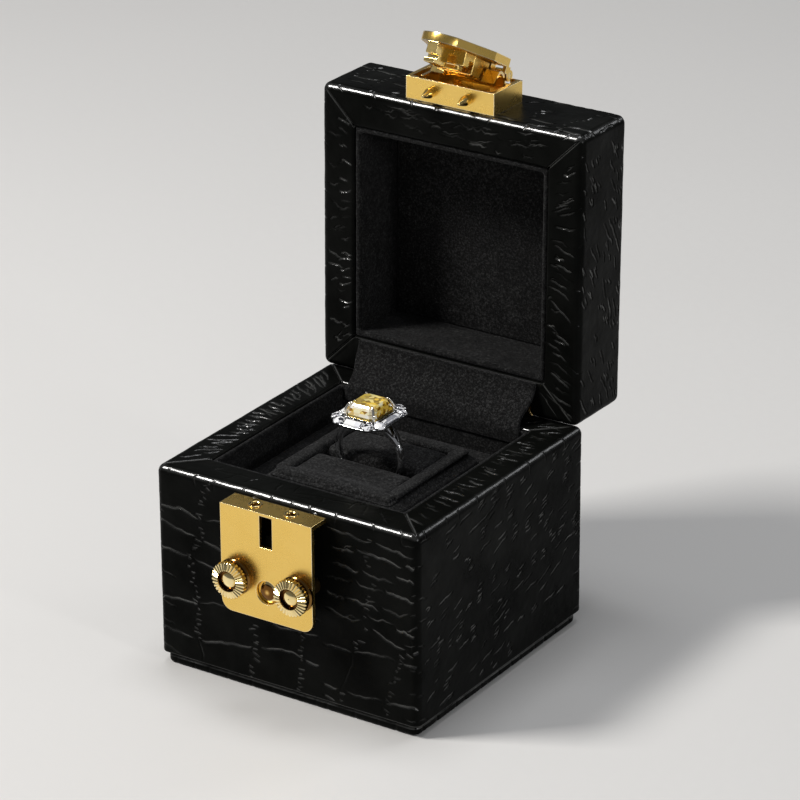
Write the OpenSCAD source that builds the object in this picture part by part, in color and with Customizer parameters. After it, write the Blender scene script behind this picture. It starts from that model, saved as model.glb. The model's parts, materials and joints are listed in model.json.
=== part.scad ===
// Ring display box: near-cubic hinged box with a metal hasp, a lock plate and a ring in a cushion.
// Units mm. +X right, +Y to the back (hinge side), +Z up. Origin: centre of the bottom face.
// The lid stands open at rest; lid parts are written closed and turned open by lid_place().

/* [Box] */
// Outer width (X) of base and lid
box_w = 76; // [70:1:90]
// Outer depth (Y) of base and lid
box_d = 76; // [70:1:90]
// Height of the base from the bottom face to its rim
base_h = 53.9; // [53.9:0.1:64]
// Height of the lid from its rim to its top
lid_h = 21.2; // [21.2:0.1:28]
// Resting angle of the open lid
open_angle = 90.9; // [88:0.1:92]
// Width of the mitred rim strips
rim_w = 9.7; // [9:0.1:10.5]
// Thickness of the leather layer
leather_t = 1.2; // [1:0.1:1.4]
// Rounding of the outer rim edges
edge_r = 2; // [1.6:0.1:2.4]
// Thickness of the bottom plate
plate_h = 2.4; // [2:0.1:3]
// Inset of the bottom plate behind the leather
plate_inset = 1; // [0.5:0.1:1.6]

/* [Lock] */
// Sideways position of the whole lock
lock_x = -1; // [-2:0.1:2]
// Width of the lock plate
lock_w = 26.6; // [25:0.1:28]
// Distance from the leather to the lock plate's front face
lock_out = 6.3; // [6.3:0.1:6.6]
// Height of the lock plate's lower edge
lock_z0 = 24; // [22:0.1:26]
// Diameter of the knurled knobs
knob_d = 9.6; // [8.8:0.1:10]
// Sideways distance of each knob from the lock centre
knob_dx = 9; // [8.8:0.1:9.4]
// Push travel of the button
button_travel = 1.2; // [0.8:0.1:1.2]

/* [Hasp] */
// Width of the hasp box on the lid
hasp_w = 25.6; // [24:0.1:27]
// Half width of the flap where it is straight
flap_hw = 9.2; // [8.8:0.1:9.6]
// Angle by which the flap stands raised at rest
flap_angle = 28; // [27:1:34]
// Thickness of the flap plate
flap_t = 2.2; // [1.8:0.1:2.4]

/* [Cushion] */
// Sideways position of cushion and ring
insert_x = -0.6; // [-2:0.1:2]
// Height of the cushion's top border
cushion_z = 50; // [48.5:0.1:51.5]
// Width of the slot that holds the ring
slot_w = 2.8; // [2.6:0.1:3.4]

/* [Ring] */
// Outer radius of the band
band_r = 9.9; // [9.7:0.1:10.1]
// Thickness of the band
band_t = 1.3; // [1.2:0.1:1.5]
// Width of the band along the finger axis
band_w = 2.1; // [1.8:0.1:2.2]

/* [Hidden] */
$fn = 64;
hw = box_w / 2;
hd = box_d / 2;
ox = hw - rim_w;                 // half of the rim opening, X
oy = hd - rim_w;                 // half of the rim opening, Y
lid_gap = 0.3;
lid_z0 = base_h + lid_gap;       // rim plane of the closed lid
lid_z1 = lid_z0 + lid_h;
hinge_y = hd - 1.8;              // hinge axis, along X
hinge_z = lid_z0 + 2;
hinge_l = 48;
knuckle_r = 1.6;
pin_r = 0.8;
pin_clear = 0.05;
leaf_t = 1;
groove = 0.5;
e = 0.01;
// lock
py = -hd - lock_out;             // front face of the lock plate
pt = 1.2;                        // plate thickness
ptop = base_h - 1.6;             // top of the flange
stud_z = base_h - 20.15;
btn_z = base_h - 22.4;
hole_dx = 5.2;
hole_y = -hd - 2.9;
case_hw = 6.3;
// hasp, closed-lid coordinates
hb_z0 = lid_z0 + 1.6;            // pin face
hb_z1 = lid_z0 + 14.7;
hb_y = -hd - 5.8;                // open front of the hasp box
ha_y = -hd - 6.2;                // flap axis
ha_z = lid_z0 + 14.4;
fn0 = 1.8;                       // inner face of the flap ahead of the axis
fr = 1.5;                        // flap barrel radius
// ring
rz = 51.5;

module lid_place() {
  translate([0, hinge_y, hinge_z]) rotate([-open_angle, 0, 0]) translate([0, -hinge_y, -hinge_z]) children();
}

// flap parts are written closed, then raised about the flap axis
module flap_place() {
  lid_place() translate([0, ha_y, ha_z]) rotate([-flap_angle, 0, 0]) translate([0, -ha_y, -ha_z]) children();
}

// rectangle with rounded corners, centred
module rrect(w, h, r) {
  square([w - 2 * r, h], center = true);
  square([w, h - 2 * r], center = true);
  for (x = [-1, 1], y = [-1, 1]) translate([x * (w / 2 - r), y * (h / 2 - r)]) circle(r);
}

// rectangle from z0 up with its upper corners rounded
module toprect(w, z0, z1, r) {
  translate([-w / 2, z0]) square([w, z1 - z0 - r]);
  translate([-w / 2 + r, z0]) square([w - 2 * r, z1 - z0]);
  for (x = [-1, 1]) translate([x * (w / 2 - r), z1 - r]) circle(r);
}

// rectangle with all four corners rounded, from z0 to z1
module allrect(w, z0, z1, r) {
  translate([0, (z0 + z1) / 2]) rrect(w, z1 - z0, r);
}

module base_env() {
  intersection() {
    translate([0, 0, -1]) linear_extrude(base_h + 2) rrect(box_w, box_d, edge_r);
    translate([0, hd + 1, 0]) rotate([90, 0, 0]) linear_extrude(box_d + 2) toprect(box_w, 0, base_h, edge_r);
    translate([-hw - 1, 0, 0]) rotate([90, 0, 90]) linear_extrude(box_w + 2) toprect(box_d, 0, base_h, edge_r);
  }
}

module lid_env() {
  intersection() {
    translate([0, 0, lid_z0 - 1]) linear_extrude(lid_h + 2) rrect(box_w, box_d, edge_r);
    translate([0, hd + 1, 0]) rotate([90, 0, 0]) linear_extrude(box_d + 2) allrect(box_w, lid_z0, lid_z1, edge_r);
    translate([-hw - 1, 0, 0]) rotate([90, 0, 90]) linear_extrude(box_w + 2) allrect(box_d, lid_z0, lid_z1, edge_r);
  }
}

module blk(x0, x1, y0, y1, z0, z1) {
  translate([x0, y0, z0]) cube([x1 - x0, y1 - y0, z1 - z0]);
}

// wedge of the plan between the centre and one side, side 0 front, 1 right, 2 rear, 3 left
module sector(side, z0, z1) {
  g = 0.06;
  translate([0, 0, z0]) linear_extrude(z1 - z0) rotate(side * 90)
    polygon([[0, -g], [-60, -60 - g], [60, -60 - g]]);
}

module rim_piece(side, z0, z1) {
  difference() {
    intersection() {
      children();
      sector(side, z0, z1);
    }
    blk(-ox, ox, -oy, oy, z0 - 1, z1 + 1);
  }
}

// ---------- base ----------
module base_carcass() color("burlywood") difference() {
  blk(-hw + leather_t, hw - leather_t, -hd + leather_t, hd - leather_t, plate_h, base_h - leather_t);
  blk(-ox, ox, -oy, oy, plate_h + 3, base_h);
  // groove above the bottom plate
  difference() {
    blk(-hw, hw, -hd, hd, plate_h - 1, plate_h + groove);
    blk(-hw + 2.4, hw - 2.4, -hd + 2.4, hd - 2.4, plate_h - 2, plate_h + groove + 1);
  }
  // mortise of the hinge leaf
  blk(-hinge_l / 2 - 0.05, hinge_l / 2 + 0.05, hinge_y - leaf_t / 2 - 0.02, hd, base_h - 10, base_h);
  // holes of the studs
  for (s = [-1, 1]) translate([lock_x + s * knob_dx, -hd + 8, stud_z]) rotate([90, 0, 0]) cylinder(r = 1.5, h = 10);
}

module base_leather() color("#161616") difference() {
  intersection() {
    base_env();
    blk(-hw, hw, -hd, hd, plate_h + groove, base_h - leather_t);
  }
  blk(-hw + leather_t, hw - leather_t, -hd + leather_t, hd - leather_t, 0, base_h);
  for (s = [-1, 1]) translate([lock_x + s * knob_dx, -hd + 8, stud_z]) rotate([90, 0, 0]) cylinder(r = 1.5, h = 10);
}

module bottom_plate() color("#141414") difference() {
  translate([0, 0, 0]) linear_extrude(plate_h) rrect(box_w - 2 * plate_inset, box_d - 2 * plate_inset, edge_r);
  translate([0, 0, -1]) linear_extrude(1.4) rrect(box_w - 16, box_d - 16, edge_r);
}

// suede-covered foot pad in the recess of the bottom plate
module bottom_pad() color("#202020")
  linear_extrude(0.4) rrect(box_w - 16.2, box_d - 16.2, edge_r);

module base_rim_front() color("#1a1a1a") rim_piece(0, base_h - leather_t, base_h) base_env();
module base_rim_right() color("#1a1a1a") rim_piece(1, base_h - leather_t, base_h) base_env();
module base_rim_left() color("#1a1a1a") rim_piece(3, base_h - leather_t, base_h) base_env();
module base_rim_rear() color("#1a1a1a") difference() {
  rim_piece(2, base_h - leather_t, base_h) base_env();
  blk(-hinge_l / 2 - 0.05, hinge_l / 2 + 0.05, hinge_y - leaf_t / 2 - 0.02, hinge_y + leaf_t / 2 + 0.02, base_h - 10, base_h + 1);
}

// suede well: outer skin just inside the rim opening
module base_tray() color("#0e0e0e") difference() {
  blk(-ox, ox, -oy, oy, plate_h + 3, base_h - 0.4);
  blk(-ox + 1.1, ox - 1.1, -oy + 1.1, oy - 1.1, plate_h + 4, base_h);
}

module insert_block() color("#3a3a3a")
  blk(-ox + 1.1, ox - 1.1, -oy + 1.1, oy - 1.1, plate_h + 4, 36);

module insert_board() color("#121212") difference() {
  blk(-ox + 1.1, ox - 1.1, -oy + 1.1, oy - 1.1, 36, 45);
  blk(insert_x - 20.1, insert_x + 20.1, -20.1, 20.1, 38, 46);
}

module knuckles(list) {
  n = 5;
  w = hinge_l / n;
  for (i = list) translate([-hinge_l / 2 + i * w + 0.1, hinge_y, hinge_z]) rotate([0, 90, 0]) cylinder(r = knuckle_r, h = w - 0.2);
}

module hinge_bore() {
  translate([-hinge_l / 2 - 1, hinge_y, hinge_z]) rotate([0, 90, 0]) cylinder(r = pin_r + pin_clear, h = hinge_l + 2);
}

module hinge_leaf_base() color("#b8933f") difference() {
  union() {
    knuckles([0, 2, 4]);
    for (i = [0, 2, 4]) blk(-hinge_l / 2 + i * hinge_l / 5 + 0.1, -hinge_l / 2 + (i + 1) * hinge_l / 5 - 0.1, hinge_y - leaf_t / 2, hinge_y + leaf_t / 2, base_h - 1, hinge_z);
    blk(-hinge_l / 2, hinge_l / 2, hinge_y - leaf_t / 2, hinge_y + leaf_t / 2, base_h - 9.9, base_h - 0.3);
  }
  hinge_bore();
  for (s = [-1, 1]) translate([s * 16, hd - 1, base_h - 5.5]) rotate([90, 0, 0]) cylinder(r = 0.8, h = 4);
}

module hinge_screws_base() color("#c9a450")
  for (s = [-1, 1]) translate([s * 16, hinge_y + leaf_t / 2, base_h - 5.5]) rotate([90, 0, 0]) cylinder(r = 0.8, h = 1);

module hinge_pin() color("#c9a450")
  translate([-hinge_l / 2, hinge_y, hinge_z]) rotate([0, 90, 0]) cylinder(r = pin_r, h = hinge_l);

// ---------- lock on the base ----------
module lock_plate() color("#d8a942") difference() {
  union() {
    // front plate, lower corners rounded
    translate([lock_x, py + pt, 0]) rotate([90, 0, 0]) linear_extrude(pt) union() {
      translate([-lock_w / 2, lock_z0 + 3]) square([lock_w, ptop - lock_z0 - 3]);
      translate([-lock_w / 2 + 3, lock_z0]) square([lock_w - 6, 5]);
      for (s = [-1, 1]) translate([s * (lock_w / 2 - 3), lock_z0 + 3]) circle(3);
    }
    // top flange
    blk(lock_x - lock_w / 2, lock_x + lock_w / 2, py, -hd, ptop - pt, ptop);
  }
  // slot for the tongue
  blk(lock_x - 1.8, lock_x + 1.8, py - 1, py + pt, base_h - 10.6, base_h - 2.4);
  // button hole
  translate([lock_x, py + 2, btn_z]) rotate([90, 0, 0]) cylinder(r = 3.1, h = 4);
  // stud holes
  for (s = [-1, 1]) translate([lock_x + s * knob_dx, py + 2, stud_z]) rotate([90, 0, 0]) cylinder(r = 1.5, h = 4);
  // seats of the guide bushes
  for (s = [-1, 1]) translate([lock_x + s * hole_dx, hole_y, ptop - 3]) cylinder(r = 1.45, h = 4);
}

module guide_bush(s) {
  translate([lock_x + s * hole_dx, hole_y, ptop - pt]) rotate_extrude()
    polygon([[1.05, 0], [1.45, 0], [1.45, pt], [1.85, pt], [1.75, pt + 0.3], [1.4, pt + 0.3], [1.05, pt]]);
}
module guide_bush_left() color("#e2bb5c") guide_bush(-1);
module guide_bush_right() color("#e2bb5c") guide_bush(1);

module lock_case() color("#6f5524") difference() {
  blk(lock_x - case_hw, lock_x + case_hw, py + pt, -hd, lock_z0 + 0.4, ptop - pt);
  blk(lock_x - case_hw + 0.8, lock_x + case_hw - 0.8, py + pt - 1, -hd - 0.8, lock_z0 + 1, ptop - pt - 1.4);
  blk(lock_x - 2.4, lock_x + 2.4, py + pt - 1, -hd - 0.8, base_h - 12, ptop - pt + 1);
}

module stud(s) translate([lock_x + s * knob_dx, 0, stud_z]) rotate([90, 0, 0]) {
  translate([0, 0, hd - 7]) cylinder(r = 1.5, h = 7);
  translate([0, 0, hd]) cylinder(r = 2.4, h = lock_out - pt);
  translate([0, 0, hd]) cylinder(r = 1.5, h = lock_out + 2.2);
}
module stud_left() color("#a8842f") stud(-1);
module stud_right() color("#a8842f") stud(1);

// knurled knob: flange, neck, disc with radial teeth over its sloped face, domed centre in a recess
module knob(s) {
  r = knob_d / 2;
  translate([lock_x + s * knob_dx, py - 0.05, stud_z]) rotate([90, 0, 0]) difference() {
    union() {
      rotate_extrude() polygon([[0, 0], [4.7, 0], [4.7, 0.7], [4.3, 1.1], [3.9, 1.1], [3.9, 1.9], [r, 2.1], [r, 3.15], [r - 0.2, 3.4], [3.0, 3.85], [2.7, 3.85], [2.6, 2.9], [0, 2.9]]);
      translate([0, 0, 2.9]) intersection() {
        translate([0, 0, -3.2]) sphere(r = 4.0);
        cylinder(r = 2.1, h = 2);
      }
    }
    translate([0, 0, -1]) cylinder(r = 1.55, h = 3.3);
    for (a = [0 : 12 : 348]) rotate(a) {
      translate([r, 0, 1.9]) rotate(45) translate([-0.3, -0.3, 0]) cube([0.6, 0.6, 3]);
      translate([2.5, 0, 4.22]) rotate([0, 17.5, 0]) rotate([45, 0, 0]) translate([0, -0.3, -0.3]) cube([3.4, 0.6, 0.6]);
    }
  }
}
module knob_left() color("#e0b650") knob(-1);
module knob_right() color("#e0b650") knob(1);

// domed button with a collar behind the plate and a wedge on its shank
module button() color("#f0d284") translate([lock_x, 0, 0]) union() {
  translate([0, py + pt + 0.05, btn_z]) rotate([90, 0, 0]) intersection() {
    cylinder(r = 3.0, h = 1.1);
    translate([0, 0, -5.7]) sphere(r = 6.8);
  }
  translate([0, py + pt + 0.85, btn_z]) rotate([90, 0, 0]) cylinder(r = 3.6, h = 0.8);
  translate([0, py + 4.2, btn_z]) rotate([90, 0, 0]) cylinder(r = 1.2, h = 2.4);
  translate([-1.1, 0, 0]) rotate([90, 0, 90]) linear_extrude(2.2)
    polygon([[py + 2.4, btn_z], [py + 2.4, btn_z - 4.95], [py + 4.2, btn_z - 2.25], [py + 4.2, btn_z]]);
}

module button_spring() color("#9a9a9a") translate([lock_x, 0, btn_z]) rotate([90, 0, 0]) difference() {
  translate([0, 0, hd + 0.8]) cylinder(r = 1.0, h = lock_out - 0.8 - 4.2);
  translate([0, 0, hd + 0.7]) cylinder(r = 0.6, h = 4);
}

// sliding catch: nose in the tongue's notch, window with a sloped sill under the wedge
module catch() color("#b9b9b9") translate([lock_x, 0, 0]) union() {
  difference() {
    blk(-3.2, 3.2, py + 3.6, py + 4.6, btn_z - 4.6, base_h - 9.6);
    translate([-1.9, 0, 0]) rotate([90, 0, 90]) linear_extrude(3.8)
      polygon([[py + 3.4, btn_z - 3.6], [py + 5, btn_z - 1.2], [py + 5, btn_z + 3.6], [py + 3.4, btn_z + 3.6]]);
  }
  blk(-1.1, 1.1, py + 1.5, py + 4.6, base_h - 10.6, base_h - 9.6);
  blk(-1.1, 1.1, py + 1.5, py + 2.3, base_h - 10.6, base_h - 7.9);
}

module catch_spring() color("#9a9a9a") difference() {
  translate([lock_x, py + 4.1, lock_z0 + 1]) cylinder(r = 0.9, h = btn_z - 4.6 - lock_z0 - 1);
  translate([lock_x, py + 4.1, lock_z0]) cylinder(r = 0.5, h = 5);
}

// ---------- cushion ----------
module pillow_frame_env() {
  // cross-sections with sloping skirts, cut against each other
  intersection() {
    translate([0, 25, 0]) rotate([90, 0, 0]) linear_extrude(50)
      polygon([[insert_x - 20, 38], [insert_x + 20, 38], [insert_x + 20, cushion_z - 2.6], [insert_x + 17.4, cushion_z - 0.5], [insert_x + 16.6, cushion_z], [insert_x - 16.6, cushion_z], [insert_x - 17.4, cushion_z - 0.5], [insert_x - 20, cushion_z - 2.6]]);
    translate([-30, 0, 0]) rotate([90, 0, 90]) linear_extrude(60)
      polygon([[-20, 38], [20, 38], [20, cushion_z - 2.6], [17.9, cushion_z - 0.5], [17.1, cushion_z], [-17.1, cushion_z], [-17.9, cushion_z - 0.5], [-20, cushion_z - 2.6]]);
  }
}

module cushion_frame() color("#101010") difference() {
  pillow_frame_env();
  blk(insert_x - 14, insert_x + 14, -14.5, 14.5, 37, 60);
}

module cushion_core() color("#4a4a4a") difference() {
  blk(insert_x - 14, insert_x + 14, -14.5, 14.5, 38, cushion_z - 6.5);
  blk(insert_x - 12, insert_x + 12, -slot_w / 2, slot_w / 2, 37, 60);
}

// one suede pad, its edge at the slot rolled down
module pad() {
  y0 = slot_w / 2;
  translate([insert_x - 13.9, 0, 0]) rotate([90, 0, 90]) linear_extrude(27.8) union() {
    translate([y0, cushion_z - 6.5]) square([14.4 - y0, 4.1]);
    translate([y0 + 2, cushion_z - 6.5]) square([14.4 - y0 - 2 - 1.2, 6.1]);
    translate([y0 + 2, cushion_z - 2.4]) circle(2);
    translate([14.4 - 1.2, cushion_z - 1.6]) circle(1.2);
    translate([14.4 - 1.3, cushion_z - 3]) square([1.3, 1.4]);
  }
}
module pad_rear() color("#141414") pad();
module pad_front() color("#141414") mirror([0, 1, 0]) pad();

// ---------- ring ----------
module ring_band() color("#e6e6ea") translate([insert_x, 0, rz]) difference() {
  union() {
    rotate([90, 0, 0]) rotate_extrude($fn = 96) polygon([[band_r - band_t, -band_w / 2 + 0.3], [band_r - band_t + 0.3, -band_w / 2], [band_r - 0.5, -band_w / 2], [band_r, -band_w / 2 + 0.5], [band_r, band_w / 2 - 0.5], [band_r - 0.5, band_w / 2], [band_r - band_t + 0.3, band_w / 2], [band_r - band_t, band_w / 2 - 0.3]]);
    // shoulders widen evenly towards the head
    intersection() {
      rotate([90, 0, 0]) difference() {
        cylinder(r = band_r - 0.05, h = 5, center = true, $fn = 96);
        cylinder(r = band_r - band_t + 0.1, h = 6, center = true, $fn = 96);
      }
      rotate([90, 0, 90]) linear_extrude(24, center = true) polygon([[-0.6, 2.5], [0.6, 2.5], [2.3, 9], [2.3, 11], [-2.3, 11], [-2.3, 9]]);
    }
  }
  // split of the shoulders
  rotate([90, 0, 90]) linear_extrude(24, center = true) polygon([[0, 5], [1.45, 9], [1.45, 12], [-1.45, 12], [-1.45, 9]]);
}

hz = rz + 9.45;                  // underside of the halo
ht = 0.6;                        // its thickness
gz = rz + 11.1;                  // top of the gallery
module octo(x, y, c) polygon([[-x + c, -y], [x - c, -y], [x, -y + c], [x, y - c], [x - c, y], [-x + c, y], [-x, y - c], [-x, -y + c]]);

// basket under the stone, saddled on the band and pierced on all sides
module ring_gallery() color("#dcdce2") translate([insert_x, 0, 0]) difference() {
  translate([0, 0, rz + 8.4]) linear_extrude(gz - rz - 8.4) difference() {
    octo(4.95, 5.35, 1.5);
    octo(4.1, 4.5, 1.25);
  }
  blk(-2.8, 2.8, -7, 7, hz + ht + 0.1, gz - 0.45);
  blk(-6, 6, -3.1, 3.1, hz + ht + 0.1, gz - 0.45);
  // lower edge raised between the corners at front and rear
  blk(-2.8, 2.8, -7, 7, rz + 8, hz - 0.5);
  translate([0, 0, rz]) rotate([90, 0, 0]) cylinder(r = band_r - 0.03, h = 5.2, center = true, $fn = 96);
}

module ring_halo() color("#e2e2e8") translate([insert_x, 0, hz]) linear_extrude(ht) difference() {
  octo(7.3, 8.3, 3.1);
  octo(4.95, 5.35, 1.5);
}

// four prongs, one at each cut corner of the centre stone
module ring_prongs() color("#f0e6cc") for (x = [-1, 1], y = [-1, 1])
  translate([insert_x + x * 4.1, y * 4.5, gz]) {
    cylinder(r = 0.45, h = 3.1);
    translate([0, 0, 3.1]) sphere(r = 0.45);
  }

// step-cut stone with cut corners: pavilion, girdle, crown steps and table
module centre_stone() color("#e8c24a", 0.9) translate([insert_x, 0, gz]) union() {
  for (k = [[-1.1, 0.45, 2.1, 2.45], [-0.65, 0.35, 2.8, 3.15], [-0.3, 0.3, 3.5, 3.85], [0, 0.6, 4.15, 4.5], [0.6, 0.55, 4.45, 4.8], [1.15, 0.65, 4.2, 4.55], [1.8, 0.65, 3.85, 4.2], [2.45, 0.65, 3.45, 3.8]])
    translate([0, 0, k[0]]) linear_extrude(k[1] + e) octo(k[2], k[3], 0.34 * k[2]);
}

// round stones at the halo's corners, leaning outwards
module brilliant(r) rotate_extrude($fn = 16) polygon([[0, -0.5], [r, 0.25], [r, 0.4], [r * 0.6, 0.75], [0, 0.75]]);
module halo_rounds() color("#f4f6ff", 0.9)
  for (x = [-1, 1], y = [-1, 1], p = [[6.3, 4.95, 30], [4.2, 7.2, 60]])
    translate([insert_x + x * p[0], y * p[1], hz + ht + 0.56]) rotate(atan2(y * sin(p[2]), x * cos(p[2]))) rotate([0, 14, 0]) brilliant(1.42);

module halo_baguettes() color("#f4f6ff", 0.9) for (s = [-1, 1]) {
  translate([insert_x, s * 7.2, hz + ht]) linear_extrude(0.95) square([5.1, 1.9], center = true);
  for (q = [-1, 1]) translate([insert_x + s * 6.25, q * 1.72, hz + ht]) linear_extrude(0.95) square([1.8, 3.3], center = true);
}

// ---------- lid (closed coordinates, turned open) ----------
module lid_hinge_cut() blk(-hinge_l / 2 - 0.4, hinge_l / 2 + 0.4, hinge_y - 1.9, hd + 1, lid_z0 - 1, hinge_z + 1.9);

module lid_carcass() color("burlywood") lid_place() difference() {
  blk(-hw + leather_t, hw - leather_t, -hd + leather_t, hd - leather_t, lid_z0 + leather_t, lid_z1 - leather_t);
  blk(-ox, ox, -oy, oy, lid_z0, lid_z1 - leather_t - 1);
  lid_hinge_cut();
  blk(-hinge_l / 2 - 0.05, hinge_l / 2 + 0.05, hinge_y - leaf_t / 2 - 0.02, hd, hinge_z, hinge_z + 10);
  for (s = [-1, 1]) translate([lock_x + s * 10, -hd + 4, lid_z0 + 8]) rotate([90, 0, 0]) cylinder(r = 1, h = 6);
}

module lid_leather() color("#161616") lid_place() difference() {
  intersection() {
    lid_env();
    blk(-hw, hw, -hd, hd, lid_z0 + leather_t, lid_z1);
  }
  blk(-hw + leather_t, hw - leather_t, -hd + leather_t, hd - leather_t, lid_z0, lid_z1 - leather_t);
  lid_hinge_cut();
  for (s = [-1, 1]) translate([lock_x + s * 10, -hd + 4, lid_z0 + 8]) rotate([90, 0, 0]) cylinder(r = 1, h = 6);
}

module lid_rim_front() color("#1a1a1a") lid_place() rim_piece(0, lid_z0, lid_z0 + leather_t) lid_env();
module lid_rim_right() color("#1a1a1a") lid_place() rim_piece(1, lid_z0, lid_z0 + leather_t) lid_env();
module lid_rim_left() color("#1a1a1a") lid_place() rim_piece(3, lid_z0, lid_z0 + leather_t) lid_env();
module lid_rim_rear() color("#1a1a1a") lid_place() difference() {
  rim_piece(2, lid_z0, lid_z0 + leather_t) lid_env();
  lid_hinge_cut();
}

module lid_tray() color("#0e0e0e") lid_place() difference() {
  blk(-ox, ox, -oy, oy, lid_z0 + 0.4, lid_z1 - leather_t - 1);
  blk(-ox + 1.6, ox - 1.6, -oy + 1.6, oy - 1.6, lid_z0, lid_z1 - leather_t - 1.8);
}

module lid_pad() color("#101010") lid_place()
  blk(-ox + 1.6, ox - 1.6, -oy + 1.6, oy - 1.6, lid_z1 - leather_t - 2.8, lid_z1 - leather_t - 1.8);

module hinge_leaf_lid() color("#b8933f") lid_place() difference() {
  union() {
    knuckles([1, 3]);
    for (i = [1, 3]) blk(-hinge_l / 2 + i * hinge_l / 5 + 0.1, -hinge_l / 2 + (i + 1) * hinge_l / 5 - 0.1, hinge_y - leaf_t / 2, hinge_y + leaf_t / 2, hinge_z, hinge_z + 3);
    blk(-hinge_l / 2, hinge_l / 2, hinge_y - leaf_t / 2, hinge_y + leaf_t / 2, hinge_z + 1.95, hinge_z + 9.9);
  }
  hinge_bore();
  for (s = [-1, 1]) translate([s * 16, hd - 1, hinge_z + 6]) rotate([90, 0, 0]) cylinder(r = 0.8, h = 4);
}

module hinge_screws_lid() color("#c9a450") lid_place()
  for (s = [-1, 1]) translate([s * 16, hinge_y + leaf_t / 2, hinge_z + 6]) rotate([90, 0, 0]) cylinder(r = 0.8, h = 1);

// bent suede strip over the hinge, drawn as it hangs with the lid open
module hinge_flap() color("#0c0c0c") {
  zt = base_h;
  translate([-26.4, 0, 0]) rotate([90, 0, 90]) linear_extrude(52.8)
    polygon([[oy - 1.9, zt - 4], [oy - 1.2, zt - 4], [oy - 1.2, zt - 0.2], [oy - 0.7, zt + 0.3], [hinge_y - 2.3, zt + 8.1],
             [hinge_y - 2.15, zt + 10.0], [hinge_y - 2.95, zt + 10.0], [hinge_y - 3.1, zt + 8.6], [oy - 1.4, zt + 0.7], [oy - 1.9, zt - 0.2]]);
}

// open hasp box on the lid's front wall
module hasp_box() color("#d8a942") lid_place() difference() {
  union() {
    blk(lock_x - hasp_w / 2, lock_x + hasp_w / 2, hb_y, -hd, hb_z0, hb_z1);
    // knuckles of the flap hinge
    for (s = [-1, 1]) translate([lock_x + (s > 0 ? 5.1 : -8.1), ha_y, ha_z]) rotate([0, 90, 0]) cylinder(r = fr, h = 3);
  }
  blk(lock_x - hasp_w / 2 + 1.1, lock_x + hasp_w / 2 - 1.1, hb_y - 3, -hd - 0.8, hb_z0 + 1.1, hb_z1 - 1);
  // clearance for the flap's own knuckles
  for (p = [[-9.7, -8.0], [-5.2, 5.2], [8.0, 9.7]]) blk(lock_x + p[0] - 0.1, lock_x + p[1] + 0.1, hb_y - 3, hb_y + 1.7, ha_z - 1.8, hb_z1 + 2);
  translate([lock_x - 20, ha_y, ha_z]) rotate([0, 90, 0]) cylinder(r = 0.65, h = 40);
  for (s = [-1, 1]) translate([lock_x + s * 10, -hd + 1, lid_z0 + 8]) rotate([90, 0, 0]) cylinder(r = 1, h = 3);
  // step along the front wall's top
  blk(lock_x - hasp_w / 2 + 3, lock_x + hasp_w / 2 - 3, hb_y - 1, hb_y + 0.7, hb_z0 + 0.55, hb_z0 + 1.2);
}

module hasp_rivets() color("#c9a450") lid_place() for (s = [-1, 1]) translate([lock_x + s * 10, -hd + 4, lid_z0 + 8]) rotate([90, 0, 0]) {
  cylinder(r = 1, h = 4.8);
  translate([0, 0, 4.8]) cylinder(r = 1.7, h = 0.6);
}

module locating_pin(s) lid_place() translate([lock_x + s * hole_dx, hole_y, hb_z0]) mirror([0, 0, 1]) rotate_extrude()
  polygon([[0, 0], [1.3, 0], [1.3, 1.5], [0.35, 4.3], [0, 4.5]]);
module locating_pin_left() color("#e2bb5c") locating_pin(-1);
module locating_pin_right() color("#e2bb5c") locating_pin(1);

module hasp_hinge_pin() color("#c9a450") lid_place()
  translate([lock_x - flap_hw, ha_y, ha_z]) rotate([0, 90, 0]) cylinder(r = 0.6, h = 2 * flap_hw);

// leaf spring that holds the flap raised
module hasp_spring() color("#e6c46a") lid_place() {
  y = -hd - 0.8;
  // legs on the floor of the box, curl and arms
  for (s = [-1, 1]) translate([lock_x + (s > 0 ? 5.5 : -9.3), 0, 0]) rotate([90, 0, 90]) linear_extrude(3.8) union() {
    translate([y - 5.4, lid_z0 + 11.4]) square([5.4, 0.6]);
    difference() {
      translate([y - 5.4, lid_z0 + 9.6]) circle(2.4);
      translate([y - 5.4, lid_z0 + 9.6]) circle(1.8);
      translate([y - 5.4, lid_z0 + 6]) square([4, 8]);
      translate([y - 9, lid_z0 + 4.6]) square([8, 5]);
    }
    polygon([[y - 7.8, lid_z0 + 9.7], [y - 7.2, lid_z0 + 9.7], [y - 4.8, lid_z0 + 7.3], [y - 5.3, lid_z0 + 6.9]]);
  }
  // cross bar, its left end bent down
  blk(lock_x - 9.3, lock_x + 9.3, y - 5.4, y - 4.8, lid_z0 + 6.6, lid_z0 + 7.5);
  blk(lock_x - 9.3, lock_x - 8.5, y - 5.4, y - 4.8, lid_z0 + 2.9, lid_z0 + 7.5);
}

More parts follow.
